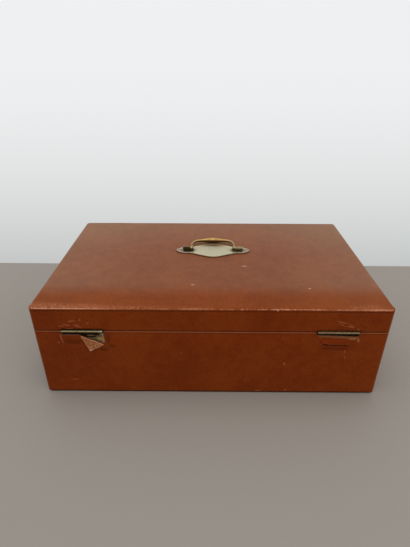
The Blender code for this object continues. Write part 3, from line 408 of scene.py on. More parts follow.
def cut_edges(leather, rub):
    """Return where the cut edge of the leather shows, behind the tear and along the lip under each hinge."""
    x, y, z = leather.axes()
    from_back, above_seam = y - back, z - seam
    behind = from_back.rise(0.0003, 0.0006) * from_back.rise(0.0016, 0.0013) * abs(x).rise(0.190, 0.186)
    behind = behind * above_seam.rise(-0.0018, -0.0024) * above_seam.rise(-0.030, -0.028)
    lip = (above_seam + rub * 0.0012 + (x.most(0.126) - 0.126) * 0.06).rise(-0.0072, -0.0062)
    lip = lip * above_seam.rise(-0.0026, -0.0032) * abs(abs(x) - 0.1500).rise(0.0245, 0.0225)
    lip = lip * from_back.rise(0.0040, 0.0020) * x.rise(-0.1560, -0.1580).most(x.rise(0.1, 0.12))
    return behind.most(lip * 0.8)


def cover_leather(colours):
    """Pebbled waxed leather, rubbed along its edges and scuffed around the hinges, with highlights, shade and a
    reflection of the backdrop painted into its colour.
    """
    leather = Finish(
        "cover_leather", colours.leather_dark, Specular_IOR_Level=0.05,
        Sheen_Weight=0.10, Sheen_Roughness=0.3, Sheen_Tint=(0.85, 1.0, 0.50, 1),
    )
    x, y, z = leather.axes()
    from_back, from_top = y - back, lid_high.z - z
    on_top_face = from_top.rise(0.0030, 0.0010)
    patches = leather.noise(70, 3, 0.6)
    pebbles = leather.node("TexVoronoi", None, {"Vector": leather.place, "Scale": 780}, "Distance")
    rub = leather.noise(330, 4, 0.7) - 0.5
    long_rub = leather.noise(24, 2) - 0.5
    dashes = leather.noise((190, 60, 60), 3, 0.6)
    wobble = (leather.noise(600, 3, 0.7) - 0.5) * 1.6

    # worn holds the rubbed edges, dust with a painted sheen, and a painted highlight under the seam.
    worn = edge_wear(leather, rub, long_rub)
    steady = x.rise(-0.100, -0.150).most(x.rise(0.100, 0.160) * 0.5) * (0.45 + dashes.rise(0.38, 0.56) * 0.45)
    # The crest along the lid's upper back edge is partly rubbed bare and partly a painted highlight on that sharp
    # edge.
    crest = (from_back + rub * 0.0006).rise(0.0010, 0.0005) * from_top.rise(0.0020, 0.0013)
    crest = crest * steady.most(dashes.rise(0.44, 0.60) * 0.4)
    # Most of the lid is painted paler: partly fading and dust, partly a painted reflection of the pale backdrop
    # that grows towards the far side. The near strip is painted a richer orange, where no reflection is painted.
    outward = abs(x).rise(0.06, 0.21)
    paler_lid = (y + long_rub * 0.008).rise(-0.110, -0.073)
    fading_and_reflection = paler_lid * (0.130 + outward * 0.078) + y.rise(-0.010, 0.130) * 0.090
    richer_near_lid = (1 - paler_lid) * (0.08 + outward * 0.05)
    scuffed = leather.marked(on_back(scuffs), wobble * 0.6, 1.15, 0.55)
    scuffed = scuffed * leather.noise((400, 900, 1900), 3, 0.7).rise(0.30, 0.52)
    creased = leather.marked(on_back(creases), wobble * 0.25, 1.2, 0.7)
    strokes = leather.noise((520, 70, 520), 2, 0.6).rise(0.38, 0.66)
    cut_tone = leather.tint(x.rise(-0.05, 0.05), (0.200, 0.075, 0.060), (0.240, 0.100, 0.040))

    leather.lay(
        ((leather.noise(14, 3, 0.6) * 0.6 + patches * 0.4).rise(0.36, 0.62), colours.leather_light),
        (pebbles.rise(0.42, 0.80) * 0.28, colours.leather_crease),
        (strokes * on_top_face * 0.14, colours.leather_crease),
        # Fading and dust with a painted reflection, then the richer near strip.
        (fading_and_reflection * (0.75 + patches * 0.5) * on_top_face, (0.425, 0.325, 0.205)),
        (richer_near_lid * on_top_face, (0.400, 0.155, 0.025)),
        # Painted shadow of the bail on the lid behind the plate.
        (leather.marked(on_top(shade_behind_plate), wobble * 0.15, 1.2, 0.7) * 0.85, (0.175, 0.082, 0.012)),
        # Dark leather and painted shade.
        (leather.marked(on_back(dark_and_shaded_patches), wobble * 0.4, 1.2, 0.5) * 0.40, colours.leather_crease),
        # Reddish streaks, with a painted highlight above the right hinge's crease.
        (leather.marked(on_back(red_streaks_and_highlight), wobble * 0.6, 1.2, 0.4) * 0.55, (0.270, 0.024, 0.012)),
        # Rubbed edges, dust with painted sheen, and the painted highlight under the seam.
        (worn * 0.75, colours.leather_worn),
        # Crest: rubbed leather with a painted highlight.
        (crest * 0.9, colours.leather_crest),
        (scuffed * 0.7, (0.420, 0.140, 0.060)),
        (leather.marked(on_top(lid_specks), wobble * 0.7, 1.0, 0.5) * 0.8, (0.560, 0.350, 0.230)),
        (leather.marked(on_back(tan_strips), wobble * 0.5, 1.15, 0.5) * 0.7, (0.360, 0.165, 0.060)),
        (cut_edges(leather, rub) * 0.85, cut_tone),
        # Dirt in the creases, and painted shade along the seam and the foot.
        ((creased * 0.90).most(dirt_lines(leather, rub)), colours.leather_crease),
    )
    grain = leather.noise(1500, 2, 0.6) * 0.35 + leather.noise((900, 260, 900), 3, 0.65) * 0.30
    roughness = 0.36 + patches * 0.10 + worn * 0.15 + scuffed * 0.2
    return leather.paint(roughness, leather.relief(grain - pebbles * 0.45, 0.00016))


def flesh_leather(colours):
    """Fibrous underside of torn leather, pale where its edges fray, with shade painted in lines for its folds and
    a highlight painted at its tip.
    """
    flesh = Finish("flesh_leather", (0.250, 0.085, 0.030), Specular_IOR_Level=0.2)
    x, z = flesh.axes("XZ")
    fibres = flesh.noise((420, 900, 1500), 4, 0.7)
    clumps = flesh.noise(520, 3, 0.6)
    # Painted shade in lines across the flap, standing for its folds.
    folds = ((x * 0.44 + z * 0.90) * 1500 + flesh.noise(240, 3, 0.6) * 22).wave()
    # Frayed edges, and a painted highlight at the flap's tip.
    edge = flesh.layer("edge").most(z.rise(seam - 0.0235, seam - 0.0262))
    flesh.lay(
        (fibres.rise(0.35, 0.65), colours.flesh),
        (clumps.rise(0.50, 0.66) * 0.6, colours.flesh_light),
        (folds.rise(0.50, 0.90) * 0.55, (0.140, 0.036, 0.010)),
        ((edge + (clumps - 0.5) * 0.5).rise(0.35, 0.85), colours.flesh_light),
    )
    return flesh.paint(0.7 + fibres * 0.25, flesh.relief(fibres * 0.6 + clumps * 0.4, 0.0004))


def bare_wood(colours):
    """Plain softwood, planed and unvarnished, stained where the tear bares it."""
    wood = Finish("bare_wood", colours.wood)
    fibres = wood.noise((60, 1200, 1200), 3, 0.6)
    wood.lay(
        (wood.noise((9, 90, 90), 4, 0.6).rise(0.4, 0.6), (0.400, 0.230, 0.105)),
        (fibres.rise(0.5, 0.75) * 0.5, (0.250, 0.130, 0.060)),
        (wood.marked(on_back(wood_stain, wood_depth), 0, 1.1, 0.9) * 0.9, (0.085, 0.052, 0.012)),
        (wood.marked(on_back(wood_glue, wood_depth), fibres * 0.6, 1.4, 0.8) * 0.85, (0.340, 0.240, 0.055)),
        (wood.marked(on_back(torn_wood, wood_depth), fibres * 0.6, 1.4, 0.8) * 0.85, (0.440, 0.185, 0.070)),
    )
    return wood.paint(0.55 + fibres * 0.25, wood.relief(fibres, 0.0001))


def pressed_felt(colours):
    """Pressed felt with loose fibres."""
    felt = Finish("pressed_felt", (0.045, 0.026, 0.018), Specular_IOR_Level=0.1, Sheen_Weight=0.4)
    fibres = felt.noise(900, 4, 0.8)
    clumps = felt.noise(120, 3)
    felt.lay(((fibres * 0.6 + clumps * 0.4).rise(0.35, 0.65), colours.felt))
    return felt.paint(0.85 + clumps * 0.1, felt.relief(fibres, 0.0005))


def pile_velvet(colours):
    """Short-pile velvet, paler where the pile is pressed."""
    velvet = Finish(
        "pile_velvet", colours.velvet, Specular_IOR_Level=0.15,
        Sheen_Weight=0.8, Sheen_Roughness=0.4, Sheen_Tint=(0.75, 0.35, 0.42, 1),
    )
    pile = velvet.noise(2200, 2, 0.6)
    pressed = velvet.noise(38, 3, 0.6)
    stroke = velvet.noise((60, 60, 16), 2, 0.5)
    velvet.lay(
        ((pressed * 0.6 + stroke * 0.4).rise(0.4, 0.64), (0.165, 0.030, 0.048)),
        (pile.rise(0.55, 0.75) * 0.35, (0.25, 0.06, 0.085)),
    )
    return velvet.paint(0.8 + pressed * 0.15, velvet.relief(pile, 0.0003))


def padded_satin(colours):
    """Satin weave with a soft sheen along its warp."""
    satin = Finish("padded_satin", colours.satin, Specular_IOR_Level=0.6, Sheen_Weight=0.25)
    warp = satin.noise((180, 3800, 3800), 2, 0.6)
    folds = satin.noise((18, 26, 26), 3, 0.5)
    aged = satin.noise(7, 3, 0.6)
    satin.lay(
        (aged.rise(0.42, 0.68), (0.500, 0.390, 0.250)),
        (warp.rise(0.5, 0.8) * 0.25, (0.780, 0.700, 0.560)),
    )
    normal = satin.relief(warp, 0.00006, satin.relief(folds, 0.0012))
    return satin.paint(0.30 + warp * 0.15 + aged * 0.08, normal)


def woven_ribbon(colours):
    """Ribbed ribbon, with shade painted darker in the hollows between its ribs."""
    ribbon = Finish("woven_ribbon", (0.150, 0.012, 0.018), Specular_IOR_Level=0.4, Sheen_Weight=0.3)
    ribs = ribbon.node("TexWave", {"bands_direction": "Z"}, {"Vector": ribbon.place, "Scale": 330}, "Fac")
    threads = ribbon.noise((900, 2600, 900), 2, 0.6)
    # The hollows between the ribs keep the darker base as painted shade.
    ribbon.lay((ribs * 0.6 + threads * 0.3, colours.ribbon))
    return ribbon.paint(0.45 + threads * 0.2, ribbon.relief(ribs + threads * 0.4, 0.0001))


def hinge_brass(colours):
    """Dull brass, bright where it is rubbed, with shade painted dark on the lower halves of the barrels and the
    leaves behind them, and a highlight painted on one barrel's end.
    """
    brass = Finish("hinge_brass", colours.brass, Metallic=1.0, Specular_Tint=(0.70, 0.60, 0.42, 1))
    x, y, z = brass.axes()
    tarnish = brass.noise(260, 4, 0.7)
    stray = tarnish - 0.5
    streaks = brass.noise((40, 900, 900), 3, 0.6)
    right = x.rise(0.1, 0.11)
    far = (y + right * 0.0003 + stray * 0.0004).rise(back - 0.0021, back - 0.0014)
    # Above the seam the barrel's top is left lit; below it the brass is painted dark as shade.
    proud = (1 - far) * (z + stray * 0.0006).rise(seam - 0.0003, seam + 0.0007)
    bare = brass.marked(on_back(bare_leaf, leaf_depth), stray * 1.1, 1.15, 0.6)
    # Painted highlight on the right end of the left barrel.
    end_highlight = x.rise(-0.1335, -0.1275) * x.rise(-0.1200, -0.1240) * proud
    dull = 0.50 + x.rise(0.1500, 0.1380) * 0.4 + x.rise(0.1600, 0.1680) * 0.2
    brass.lay(
        (tarnish.rise(0.35, 0.66), (0.260, 0.200, 0.095)),
        (streaks.rise(0.5, 0.7) * 0.6, (0.400, 0.340, 0.230)),
        # Painted shade, except on the bare brass.
        ((1 - proud) * (1 - bare) * 0.95, colours.brass_dark),
        (bare * 0.85, (0.220, 0.150, 0.085)),
        (bare * x.rise(-0.1310, -0.1290), (0.420, 0.290, 0.170)),
        # Painted highlight.
        (end_highlight * 0.6, (0.600, 0.460, 0.380)),
        (dull * right * proud, (0.170, 0.120, 0.075)),
        (right * far * z.rise(seam + 0.0002, seam + 0.0009), (0.170, 0.100, 0.050)),
    )
    return brass.paint(0.38 + tarnish * 0.25, brass.relief(tarnish, 0.00008))


def worn_gilding(colours):
    """Gilding worn down to brown brass, with shade and a reflection of the leather painted dark under the bail."""
    gilt = Finish("worn_gilding", colours.gilt, Metallic=1.0, Specular_Tint=(0.85, 0.70, 0.45, 1))
    x = gilt.axes("X")[0]
    low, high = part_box("bail")
    from_middle = abs(x - (low.x + high.x) / 2)
    wear = gilt.noise(150, 4, 0.7)
    scratches = gilt.noise((90, 2400, 2400), 3, 0.7)
    gilt.lay(
        (wear.rise(0.50, 0.72) * 0.8, colours.gilt_dark),
        (from_middle.rise(0.0190, 0.0270) * 0.8, (0.400, 0.300, 0.180)),
        (scratches.rise(0.6, 0.8) * 0.3, (0.480, 0.340, 0.170)),
        # Painted shade and reflection of the leather on the bail's underside.
        (gilt.layer("under") * from_middle.rise(0.0315, 0.0290) * 0.9, (0.085, 0.036, 0.005)),
    )
    return gilt.paint(0.36 + wear * 0.16 + scratches * 0.08, gilt.relief(wear + scratches * 0.5, 0.00004))


def plate_metal(colours):
    """Pale satin metal, tarnished and painted with shade around the posts, with the bail's shadow and reflection
    painted near its far edge and shade painted on its sides.
    """
    plate = Finish("plate_metal", colours.plate, Metallic=1.0)
    x, y, z = plate.axes()
    low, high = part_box("handle_plate")
    middle = (low + high) / 2
    half = high.y - middle.y
    face = high.z - 0.0006
    along, across = abs(x - middle.x), y - middle.y
    tarnish = plate.noise(210, 4, 0.7)
    stray = tarnish - 0.5
    cloud = plate.noise(60, 3, 0.6)
    leaves = ((along + abs(across) * 0.7) * 2500 + tarnish * 3).wave()
    lobe = (along + stray * 0.006).rise(0.0255, 0.0310)
    rosette = lobe * z.rise(high.z - 0.0001, face) * leaves
    rim = z.rise(face + 0.0002, high.z)
    # Painted shadow and reflection of the bail on the plate near its far edge.
    painted_bail_shadow = (across + (cloud - 0.5) * 0.003).rise(half * 0.46, half * 0.90) * (1 - lobe)
    around_posts = [((middle.x + side * 0.0350, middle.y, face), (0.0125, 0.0055, 0.004)) for side in (-1, 1)]
    plate.lay(
        (cloud.rise(0.42, 0.66) * 0.7, (0.520, 0.500, 0.355)),
        (tarnish.rise(0.50, 0.75) * 0.5, (0.470, 0.400, 0.260)),
        (lobe * 0.85, colours.plate_brown),
        (rosette * 0.6, (0.560, 0.480, 0.380)),
        (rim * 0.6, (0.540, 0.450, 0.350)),
        # Painted shadow and reflection of the bail.
        (painted_bail_shadow * 0.9, (0.150, 0.075, 0.020)),
        # Tarnish around the posts' feet, with painted shade there.
        (plate.marked(around_posts, stray * 1.2, 1.2, 0.6) * (1 - rim) * 0.85, colours.plate_dark),
        # Painted shade on the plate's sides below its face.
        (z.rise(face - 0.0003, face - 0.0009), (0.120, 0.065, 0.028)),
    )
    brushed = plate.noise((160, 2600, 2600), 3, 0.6)
    normal = plate.relief(brushed * 0.1 + tarnish * 0.2 + rosette, 0.0003)
    return plate.paint(0.32 + tarnish * 0.16 + brushed * 0.06, normal)


def rubbed_bronze(colours):
    """Nearly black bronze, rubbed to brown where it stands proud with a highlight painted there, and paler on the
    right post.
    """
    bronze = Finish(
        "rubbed_bronze", colours.bronze, Metallic=0.15,
        Specular_IOR_Level=0.12, Specular_Tint=(0.60, 0.50, 0.30, 1),
    )
    x, z = bronze.axes("XZ")
    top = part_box("handle_post_right")[1].z
    patina = bronze.noise(320, 4, 0.7)
    height = z + (patina - 0.5) * 0.0010
    right = x.rise(0, 0.01)
    bronze.lay(
        (patina.rise(0.55, 0.78) * 0.8, (0.060, 0.040, 0.016)),
        (right * 0.5, (0.090, 0.070, 0.018)),
        # The posts' tops: rubbed to brown, with a painted highlight.
        (height.rise(top - 0.0008, top - 0.0001) * 0.85, (0.300, 0.230, 0.145)),
        # The right post's upper side: rubbed, with a painted highlight.
        (right * height.rise(top - 0.0032, top - 0.0022) * 0.8, (0.330, 0.265, 0.155)),
    )
    return bronze.paint(0.46 + patina * 0.2, bronze.relief(patina, 0.0001))


def dull_steel(colours):
    """Steel with faint file marks and specks of rust."""
    steel = Finish("dull_steel", colours.steel, Metallic=1.0)
    marks = steel.noise((2200, 150, 2200), 3, 0.6)
    rust = steel.noise(340, 4, 0.75)
    steel.lay(
        (marks.rise(0.4, 0.7), (0.560, 0.550, 0.530)),
        (rust.rise(0.60, 0.74) * 0.7, (0.160, 0.075, 0.035)),
    )
    return steel.paint(0.32 + rust * 0.3, steel.relief(marks, 0.00005))


makers = {
    "leather": cover_leather, "leather_flesh": flesh_leather, "pine": bare_wood, "felt": pressed_felt,
    "velvet": pile_velvet, "covered_wood": pile_velvet, "satin": padded_satin, "ribbon": woven_ribbon,
    "aged_brass": hinge_brass, "gilt_brass": worn_gilding, "plate_brass": plate_metal,
    "dark_bronze": rubbed_bronze, "steel": dull_steel,
}


def finish_of(slot):
    """Return the finish of a material slot, made when it is first asked for."""
    maker = makers[slot]
    return bpy.data.materials.get(maker.__name__) or maker(bpy.context.scene.chest_colours)


# Mesh helpers

def piece(name, shape, slot, body, *stands_for, angle=35):
    """Make a shape into a piece with its finish, riding on a body in place of some nodes."""
    mesh = bpy.data.meshes.new(name)
    shape.to_mesh(mesh)
    shape.free()
    mesh.materials.append(finish_of(slot))
    mesh.shade_smooth()
    mesh.set_sharp_from_angle(angle=math.radians(angle))
    item = bpy.data.objects.new(name, mesh)
    bpy.context.scene.collection.objects.link(item)
    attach(item, body)
    if stands_for:
        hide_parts(*stands_for)
    return item


def thicken(item, thickness, side=-1):
    """Give a sheet its wall, inwards unless told otherwise."""
    wall = item.modifiers.new("wall", "SOLIDIFY")
    wall.thickness = thickness
    wall.offset = side
    wall.use_even_offset = True


def soften(item, radius):
    """Round a piece's edges."""
    edge = item.modifiers.new("edges", "BEVEL")
    edge.width = radius
    edge.segments = 2
    edge.limit_method = "ANGLE"
    edge.angle_limit = math.radians(40)
    edge.harden_normals = True


def round_off(shape, edges, radius, segments):
    """Bevel some edges of a shape to a radius."""
    if radius > touch:
        bmesh.ops.bevel(
            shape, geom=edges, offset=radius, segments=segments, profile=0.5, affect="EDGES", material=-1
        )


def rounded_box(low, high, corner, low_edge, high_edge, corner_segments=10, edge_segments=4):
    """Return a block with round upright corners and round lower and upper edges."""
    size = Matrix.Diagonal((*(high - low), 1))
    shape = bmesh.new()
    bmesh.ops.create_cube(shape, size=1, matrix=Matrix.Translation((low + high) / 2) @ size)
    upright = [edge for edge in shape.edges if abs(edge.verts[0].co.z - edge.verts[1].co.z) > touch]
    round_off(shape, upright, corner, corner_segments)
    for level, radius in ((low.z, low_edge), (high.z, high_edge)):
        ring = [edge for edge in shape.edges if all(abs(vert.co.z - level) < touch for vert in edge.verts)]
        round_off(shape, ring, radius, edge_segments)
    return shape


def slice_by(shape, place, normal, near=None):
    """Cut edges along a plane, only through the faces that pass a test where one is given."""
    faces = [face for face in shape.faces if near is None or near(face.calc_center_median())]
    edges = {edge for face in faces for edge in face.edges}
    verts = {vert for face in faces for vert in face.verts}
    parts = [*faces, *edges, *verts]
    bmesh.ops.bisect_plane(shape, geom=parts, dist=touch / 10, plane_co=place, plane_no=normal)


def slice_across(shape, axis, places, near=None):
    """Cut edges across an axis at each place."""
    normal = Vector((axis == 0, axis == 1, axis == 2))
    for place in places:
        slice_by(shape, normal * place, normal, near)


def grown_verts(grown):
    """Return the vertices among the parts that an extrusion made."""
    return [part for part in grown["geom"] if isinstance(part, bmesh.types.BMVert)]


def grown_edges(grown):
    """Return the edges at the far end among the parts that an extrusion made."""
    verts = grown_verts(grown)
    edges = [part for part in grown["geom"] if isinstance(part, bmesh.types.BMEdge)]
    return [edge for edge in edges if all(vert in verts for vert in edge.verts)]


def steps(low, high, pitch):
    """Return even steps between two ends, close to a pitch."""
    count = max(1, round((high - low) / pitch))
    return [low + (high - low) * step / count for step in range(count + 1)]


def slice_evenly(shape, low, high, pitch):
    """Cut a sheet into even panels along X and Y, but not through its rounded corners."""
    for axis in (0, 1):
        slice_across(shape, axis, steps(low[axis] + 0.004, high[axis] - 0.004, pitch))


def remove(shape, inside):
    """Delete the faces whose middles pass a test."""
    gone = [face for face in shape.faces if inside(face.calc_center_median())]
    bmesh.ops.delete(shape, geom=gone, context="FACES")


def smooth_step(value, low, high):
    """Return 0 at low and 1 at high, eased between."""
    share = min(1, max(0, (value - low) / (high - low)))
    return share * share * (3 - 2 * share)


def sweep(shape, path, normal, sides):
    """Draw a round section along a flat path of places and radii, with closed ends."""
    def across(index):
        place = path[index][0]
        along = (path[min(index + 1, len(path) - 1)][0] - path[max(index - 1, 0)][0]).normalized()
        turn = Matrix((normal.cross(along), normal, along)).transposed().to_4x4()
        return Matrix.Translation(place) @ turn @ Matrix.Scale(path[index][1], 4)

    ring = bmesh.ops.create_circle(shape, segments=sides, radius=1, matrix=across(0))["verts"]
    bmesh.ops.contextual_create(shape, geom=ring)
    edges = [edge for edge in shape.edges if all(vert in ring for vert in edge.verts)]
    for index in range(1, len(path)):
        grown = bmesh.ops.extrude_edge_only(shape, edges=edges)
        verts, edges = grown_verts(grown), grown_edges(grown)
        bmesh.ops.transform(shape, verts=verts, matrix=across(index) @ across(index - 1).inverted())
    bmesh.ops.contextual_create(shape, geom=verts)
    bmesh.ops.recalc_face_normals(shape, faces=shape.faces)


def curved(points, between):
    """Return points on a smooth closed curve through some others."""
    made = []
    for index, start in enumerate(points):
        before, end, after = (points[(index + away) % len(points)] for away in (-1, 1, 2))
        for step in range(between):
            t = step / between
            made.append(0.5 * (
                2 * start + (end - before) * t + (2 * before - 5 * start + 4 * end - after) * t * t
                + (3 * start - before - 3 * end + after) * t ** 3
            ))
    return made


def turned(shape, profile, place, axis):
    """Spin a profile of radii and heights about an axis through a place."""
    turn = axis.to_track_quat("Z", "Y").to_matrix().to_4x4()
    matrix = Matrix.Translation(place) @ turn
    verts = [shape.verts.new(matrix @ Vector((radius, 0, height))) for radius, height in profile]
    edges = [shape.edges.new(pair) for pair in zip(verts, verts[1:])]
    bmesh.ops.spin(
        shape, geom=[*verts, *edges], cent=place, axis=axis, angle=math.tau, steps=36, use_merge=True
    )
    bmesh.ops.remove_doubles(shape, verts=shape.verts, dist=touch / 5)
    bmesh.ops.recalc_face_normals(shape, faces=shape.faces)


def join(shape, other):
    """Add the faces of another shape."""
    mesh = bpy.data.meshes.new("joined")
    other.to_mesh(mesh)
    other.free()
    shape.from_mesh(mesh)
    bpy.data.meshes.remove(mesh)


# Covers

tear_left, tear_low = Vector((-0.1536, back, seam - 0.0066)), Vector((-0.1278, back, seam - 0.0192))
tear_fold = tear_low - tear_left
tear_tip = Vector((-0.1444, back, seam - 0.0275))
tear_top = seam - 0.0024
tear_edges = (
    (tear_left, Vector((-tear_fold.z, 0, tear_fold.x)).normalized()),
    (tear_left, Vector((0.0043, 0, 0.0062)).normalized()),
    (Vector((-0.1262, back, 0)), Vector((-1, 0, 0))),
)
slot_edges = (
    (Vector((hinge_middles[0], back, seam - 0.0056)), Vector((0, 0, 1))),
    (Vector((0.1260, back, seam - 0.0042)), Vector((0.0380, 0, 1)).normalized()),
)


def from_hinge(place):
    """Return how far along X a place is from the middle of the nearer hinge."""
    return abs(place.x - hinge_middles[place.x > 0])


def hinge_cuts(reach):
    """Return the places along X that far from each hinge's middle, and where the lock's face ends."""
    ends = [middle + side * reach for middle in hinge_middles for side in (-1, 1)]
    return [*ends, -lock_high.x, lock_high.x]


def near_hinge(place):
    """Tell whether a place is on the back, close to a hinge."""
    return place.y < back + touch and from_hinge(place) < hinge_reach and place.z > seam - hinge_drop


def near_tear(place):
    """Tell whether a place is on the back, close to the left hinge, under which the leather is torn."""
    return near_hinge(place) and place.x < 0


def in_tear(place):
    """Tell whether a place is where the leather is torn away."""
    return near_tear(place) and all((place - corner).dot(inward) > 0 for corner, inward in tear_edges)


def in_slot(place, clearance):
    """Tell whether a place is where a hinge's barrel passes through the leather, torn wider under it."""
    along = from_hinge(place) < hinge_half + clearance
    corner, up = slot_edges[place.x > 0]
    above = (place - corner).dot(up) > 0
    return along and above and place.z - seam < slot_top + clearance and place.y < leaf_back + clearance


def in_mouth(place):
    """Tell whether a place is over the inside of the chest."""
    return abs(place.x) < mouth.x and abs(place.y) < mouth.y


def over_lock(place):
    """Tell whether a place is over the lock's face, in the front's rim."""
    return abs(place.x) < lock_high.x and mouth.y - touch < place.y < lock_high.y + touch


def hinge_relief(place):
    """Return how far the leather under the hinges stands out, or lies in where its face is rubbed off."""
    x, z = place.x, place.z - seam
    lifted = smooth_step(x, 0.126, 0.133) * smooth_step(-x, -0.176, -0.168)
    ledge = 0.0010 * math.sin((x - 0.150) * 90) - ledge_drop
    strip = 0.0009 * lifted * smooth_step(-z, 0.004, 0.0185) * (z > ledge)
    rubbed = smooth_step(x, -0.177, -0.174) * smooth_step(-x, 0.150, 0.156)
    hollow = 0.00028 * rubbed * smooth_step(-z, 0.004, 0.006) * smooth_step(z, -0.024, -0.0195)
    return strip - hollow


def slice_cover(shape, slot, more, levels):
    """Cut a cover into panels, and where the mouth, the hinges' slots and the lock's face end."""
    slice_across(shape, 0, [*steps(-mouth.x, mouth.x, 0.014), *hinge_cuts(hinge_half + slot), *more])
    slice_across(shape, 1, [*steps(-mouth.y, mouth.y, 0.013), leaf_back + slot, lock_high.y + touch])
    slice_across(shape, 2, levels)


def roughen(shape, unevenness):
    """Let a cover stray a little from flat, but not at the seam."""
    for vert in shape.verts:
        place = vert.co
        inset = smooth_step(abs(place.z - seam), 0.001, 0.006)
        stray = noise.noise(place * 26) + 0.5 * noise.noise(place * 70)
        out = stray * unevenness * inset
        if near_hinge(place) and place.z < seam:
            out += hinge_relief(place)
        vert.co = place + vert.normal * out


def waver(place, apart):
    """Return a shift in the plane of the back that varies from place to place."""
    return Vector((noise.noise(place), 0, noise.noise(place + Vector((apart, 0, 0)))))


def fray(shape):
    """Shift the edges of the tear to and fro in the plane of the back."""
    for vert in shape.verts:
        if vert.is_boundary and near_hinge(vert.co) and vert.co.z < tear_top:
            vert.co += waver(vert.co * 700, 9) * 0.0006


def round_over(shape, low, high, corner, radius):
    """Widen the radius of the upper edge of a rounded block, except at its back."""
    middle, half = (low + high) / 2, (high - low) / 2
    depths = steps(0.0007, radius, 0.0012)
    slice_across(shape, 0, [side * (half.x - depth) for side in (-1, 1) for depth in depths])
    slice_across(shape, 1, [high.y - depth for depth in depths])
    slice_across(shape, 2, [high.z - depth for depth in depths])
    for vert in shape.verts:
        place = vert.co - middle
        past = Vector((max(0, abs(place.x) - half.x + corner), max(0, abs(place.y) - half.y + corner)))
        if past.length < touch:
            continue
        outward = Vector((math.copysign(past.x, place.x), math.copysign(past.y, place.y), 0)).normalized()
        inward, upward = past.length - corner + radius, place.z - half.z + radius
        spread = math.hypot(inward, upward)
        if min(inward, upward) > 0 and spread > radius:
            share = (spread - radius) / spread * smooth_step(vert.co.y, back + 0.002, back + 0.011)
            vert.co -= outward * inward * share + Vector((0, 0, upward * share))
    bmesh.ops.remove_doubles(shape, verts=shape.verts, dist=0.0002)
    bmesh.ops.dissolve_degenerate(shape, edges=shape.edges, dist=touch)


class CHEST_OT_body_cover(Operator):
    """Make the leather over the body, torn open under the left hinge"""
    bl_idname = "chest.body_cover"
    bl_label = "Body cover"

    def execute(self, context):
        sizes = context.scene.chest_sizes
        slot = sizes.slot_clearance
        shape = rounded_box(body_low, body_high, sizes.corner, sizes.rim_edge, sizes.rim_edge)
        levels = [*steps(body_low.z + 0.003, seam - hinge_drop, 0.009), seam - 0.03]
        slice_cover(shape, slot, hinge_cuts(hinge_reach), levels)
        for middle in hinge_middles:
            slice_across(shape, 0, steps(middle - hinge_reach, middle + hinge_reach, 0.0013), near_hinge)
        fine_levels = [*steps(seam - hinge_drop, seam - 0.002, 0.0012), seam - ledge_drop]
        slice_across(shape, 2, fine_levels, near_hinge)
        for corner, up in slot_edges:
            slice_by(shape, corner, up, lambda place: near_hinge(place) and place.x * corner.x > 0)
        for place, normal in tear_edges:
            slice_by(shape, place, normal, near_tear)
        remove(shape, lambda place: in_slot(place, slot))
        remove(shape, in_tear)
        remove(shape, lambda place: in_mouth(place)
               and min(abs(place.z - body_low.z), abs(place.z - body_high.z)) < touch)
        remove(shape, lambda place: over_lock(place) and place.z > body_high.z - touch)
        self.cut_keyhole(shape)
        bmesh.ops.dissolve_degenerate(shape, dist=0.00025, edges=shape.edges)
        fray(shape)
        roughen(shape, sizes.unevenness)
        thicken(piece("body_cover", shape, "leather", "chest", "body_leather"), sizes.leather)
        return {"FINISHED"}

    def cut_keyhole(self, shape):
        """Open the front where the key goes in, round its shaft and down to the end of its bit."""
        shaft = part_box("lock_bolt")[0].z - 0.003
        radius = 0.0019
        bottom, top = shaft - 0.006, shaft + radius

        def near_key(place):
            return place.y > body_high.y - touch and abs(place.x) < 0.02

        slice_across(shape, 0, (-radius, radius), near_key)
        slice_across(shape, 2, (bottom, top), near_key)
        remove(shape, lambda place: near_key(place) and abs(place.x) < radius and bottom < place.z < top)


class CHEST_OT_lid_cover(Operator):
    """Make the leather over the lid"""
    bl_idname = "chest.lid_cover"
    bl_label = "Lid cover"

    def execute(self, context):
        sizes = context.scene.chest_sizes
        slot = sizes.slot_clearance
        shape = rounded_box(lid_low, lid_high, sizes.corner, sizes.rim_edge, sizes.lid_edge, edge_segments=6)
        levels = [*steps(lid_low.z + 0.005, lid_high.z - 0.006, 0.007), seam + slot_top + slot]
        slice_cover(shape, slot, (), levels)
        round_over(shape, lid_low, lid_high, sizes.corner, sizes.lid_side_edge)
        remove(shape, lambda place: in_slot(place, slot))
        for over in (in_mouth, over_lock):
            remove(shape, lambda place: over(place) and place.z < lid_low.z + touch)
        roughen(shape, sizes.unevenness)
        thicken(piece("lid_cover", shape, "leather", "lid", "lid_leather"), sizes.leather)
        return {"FINISHED"}


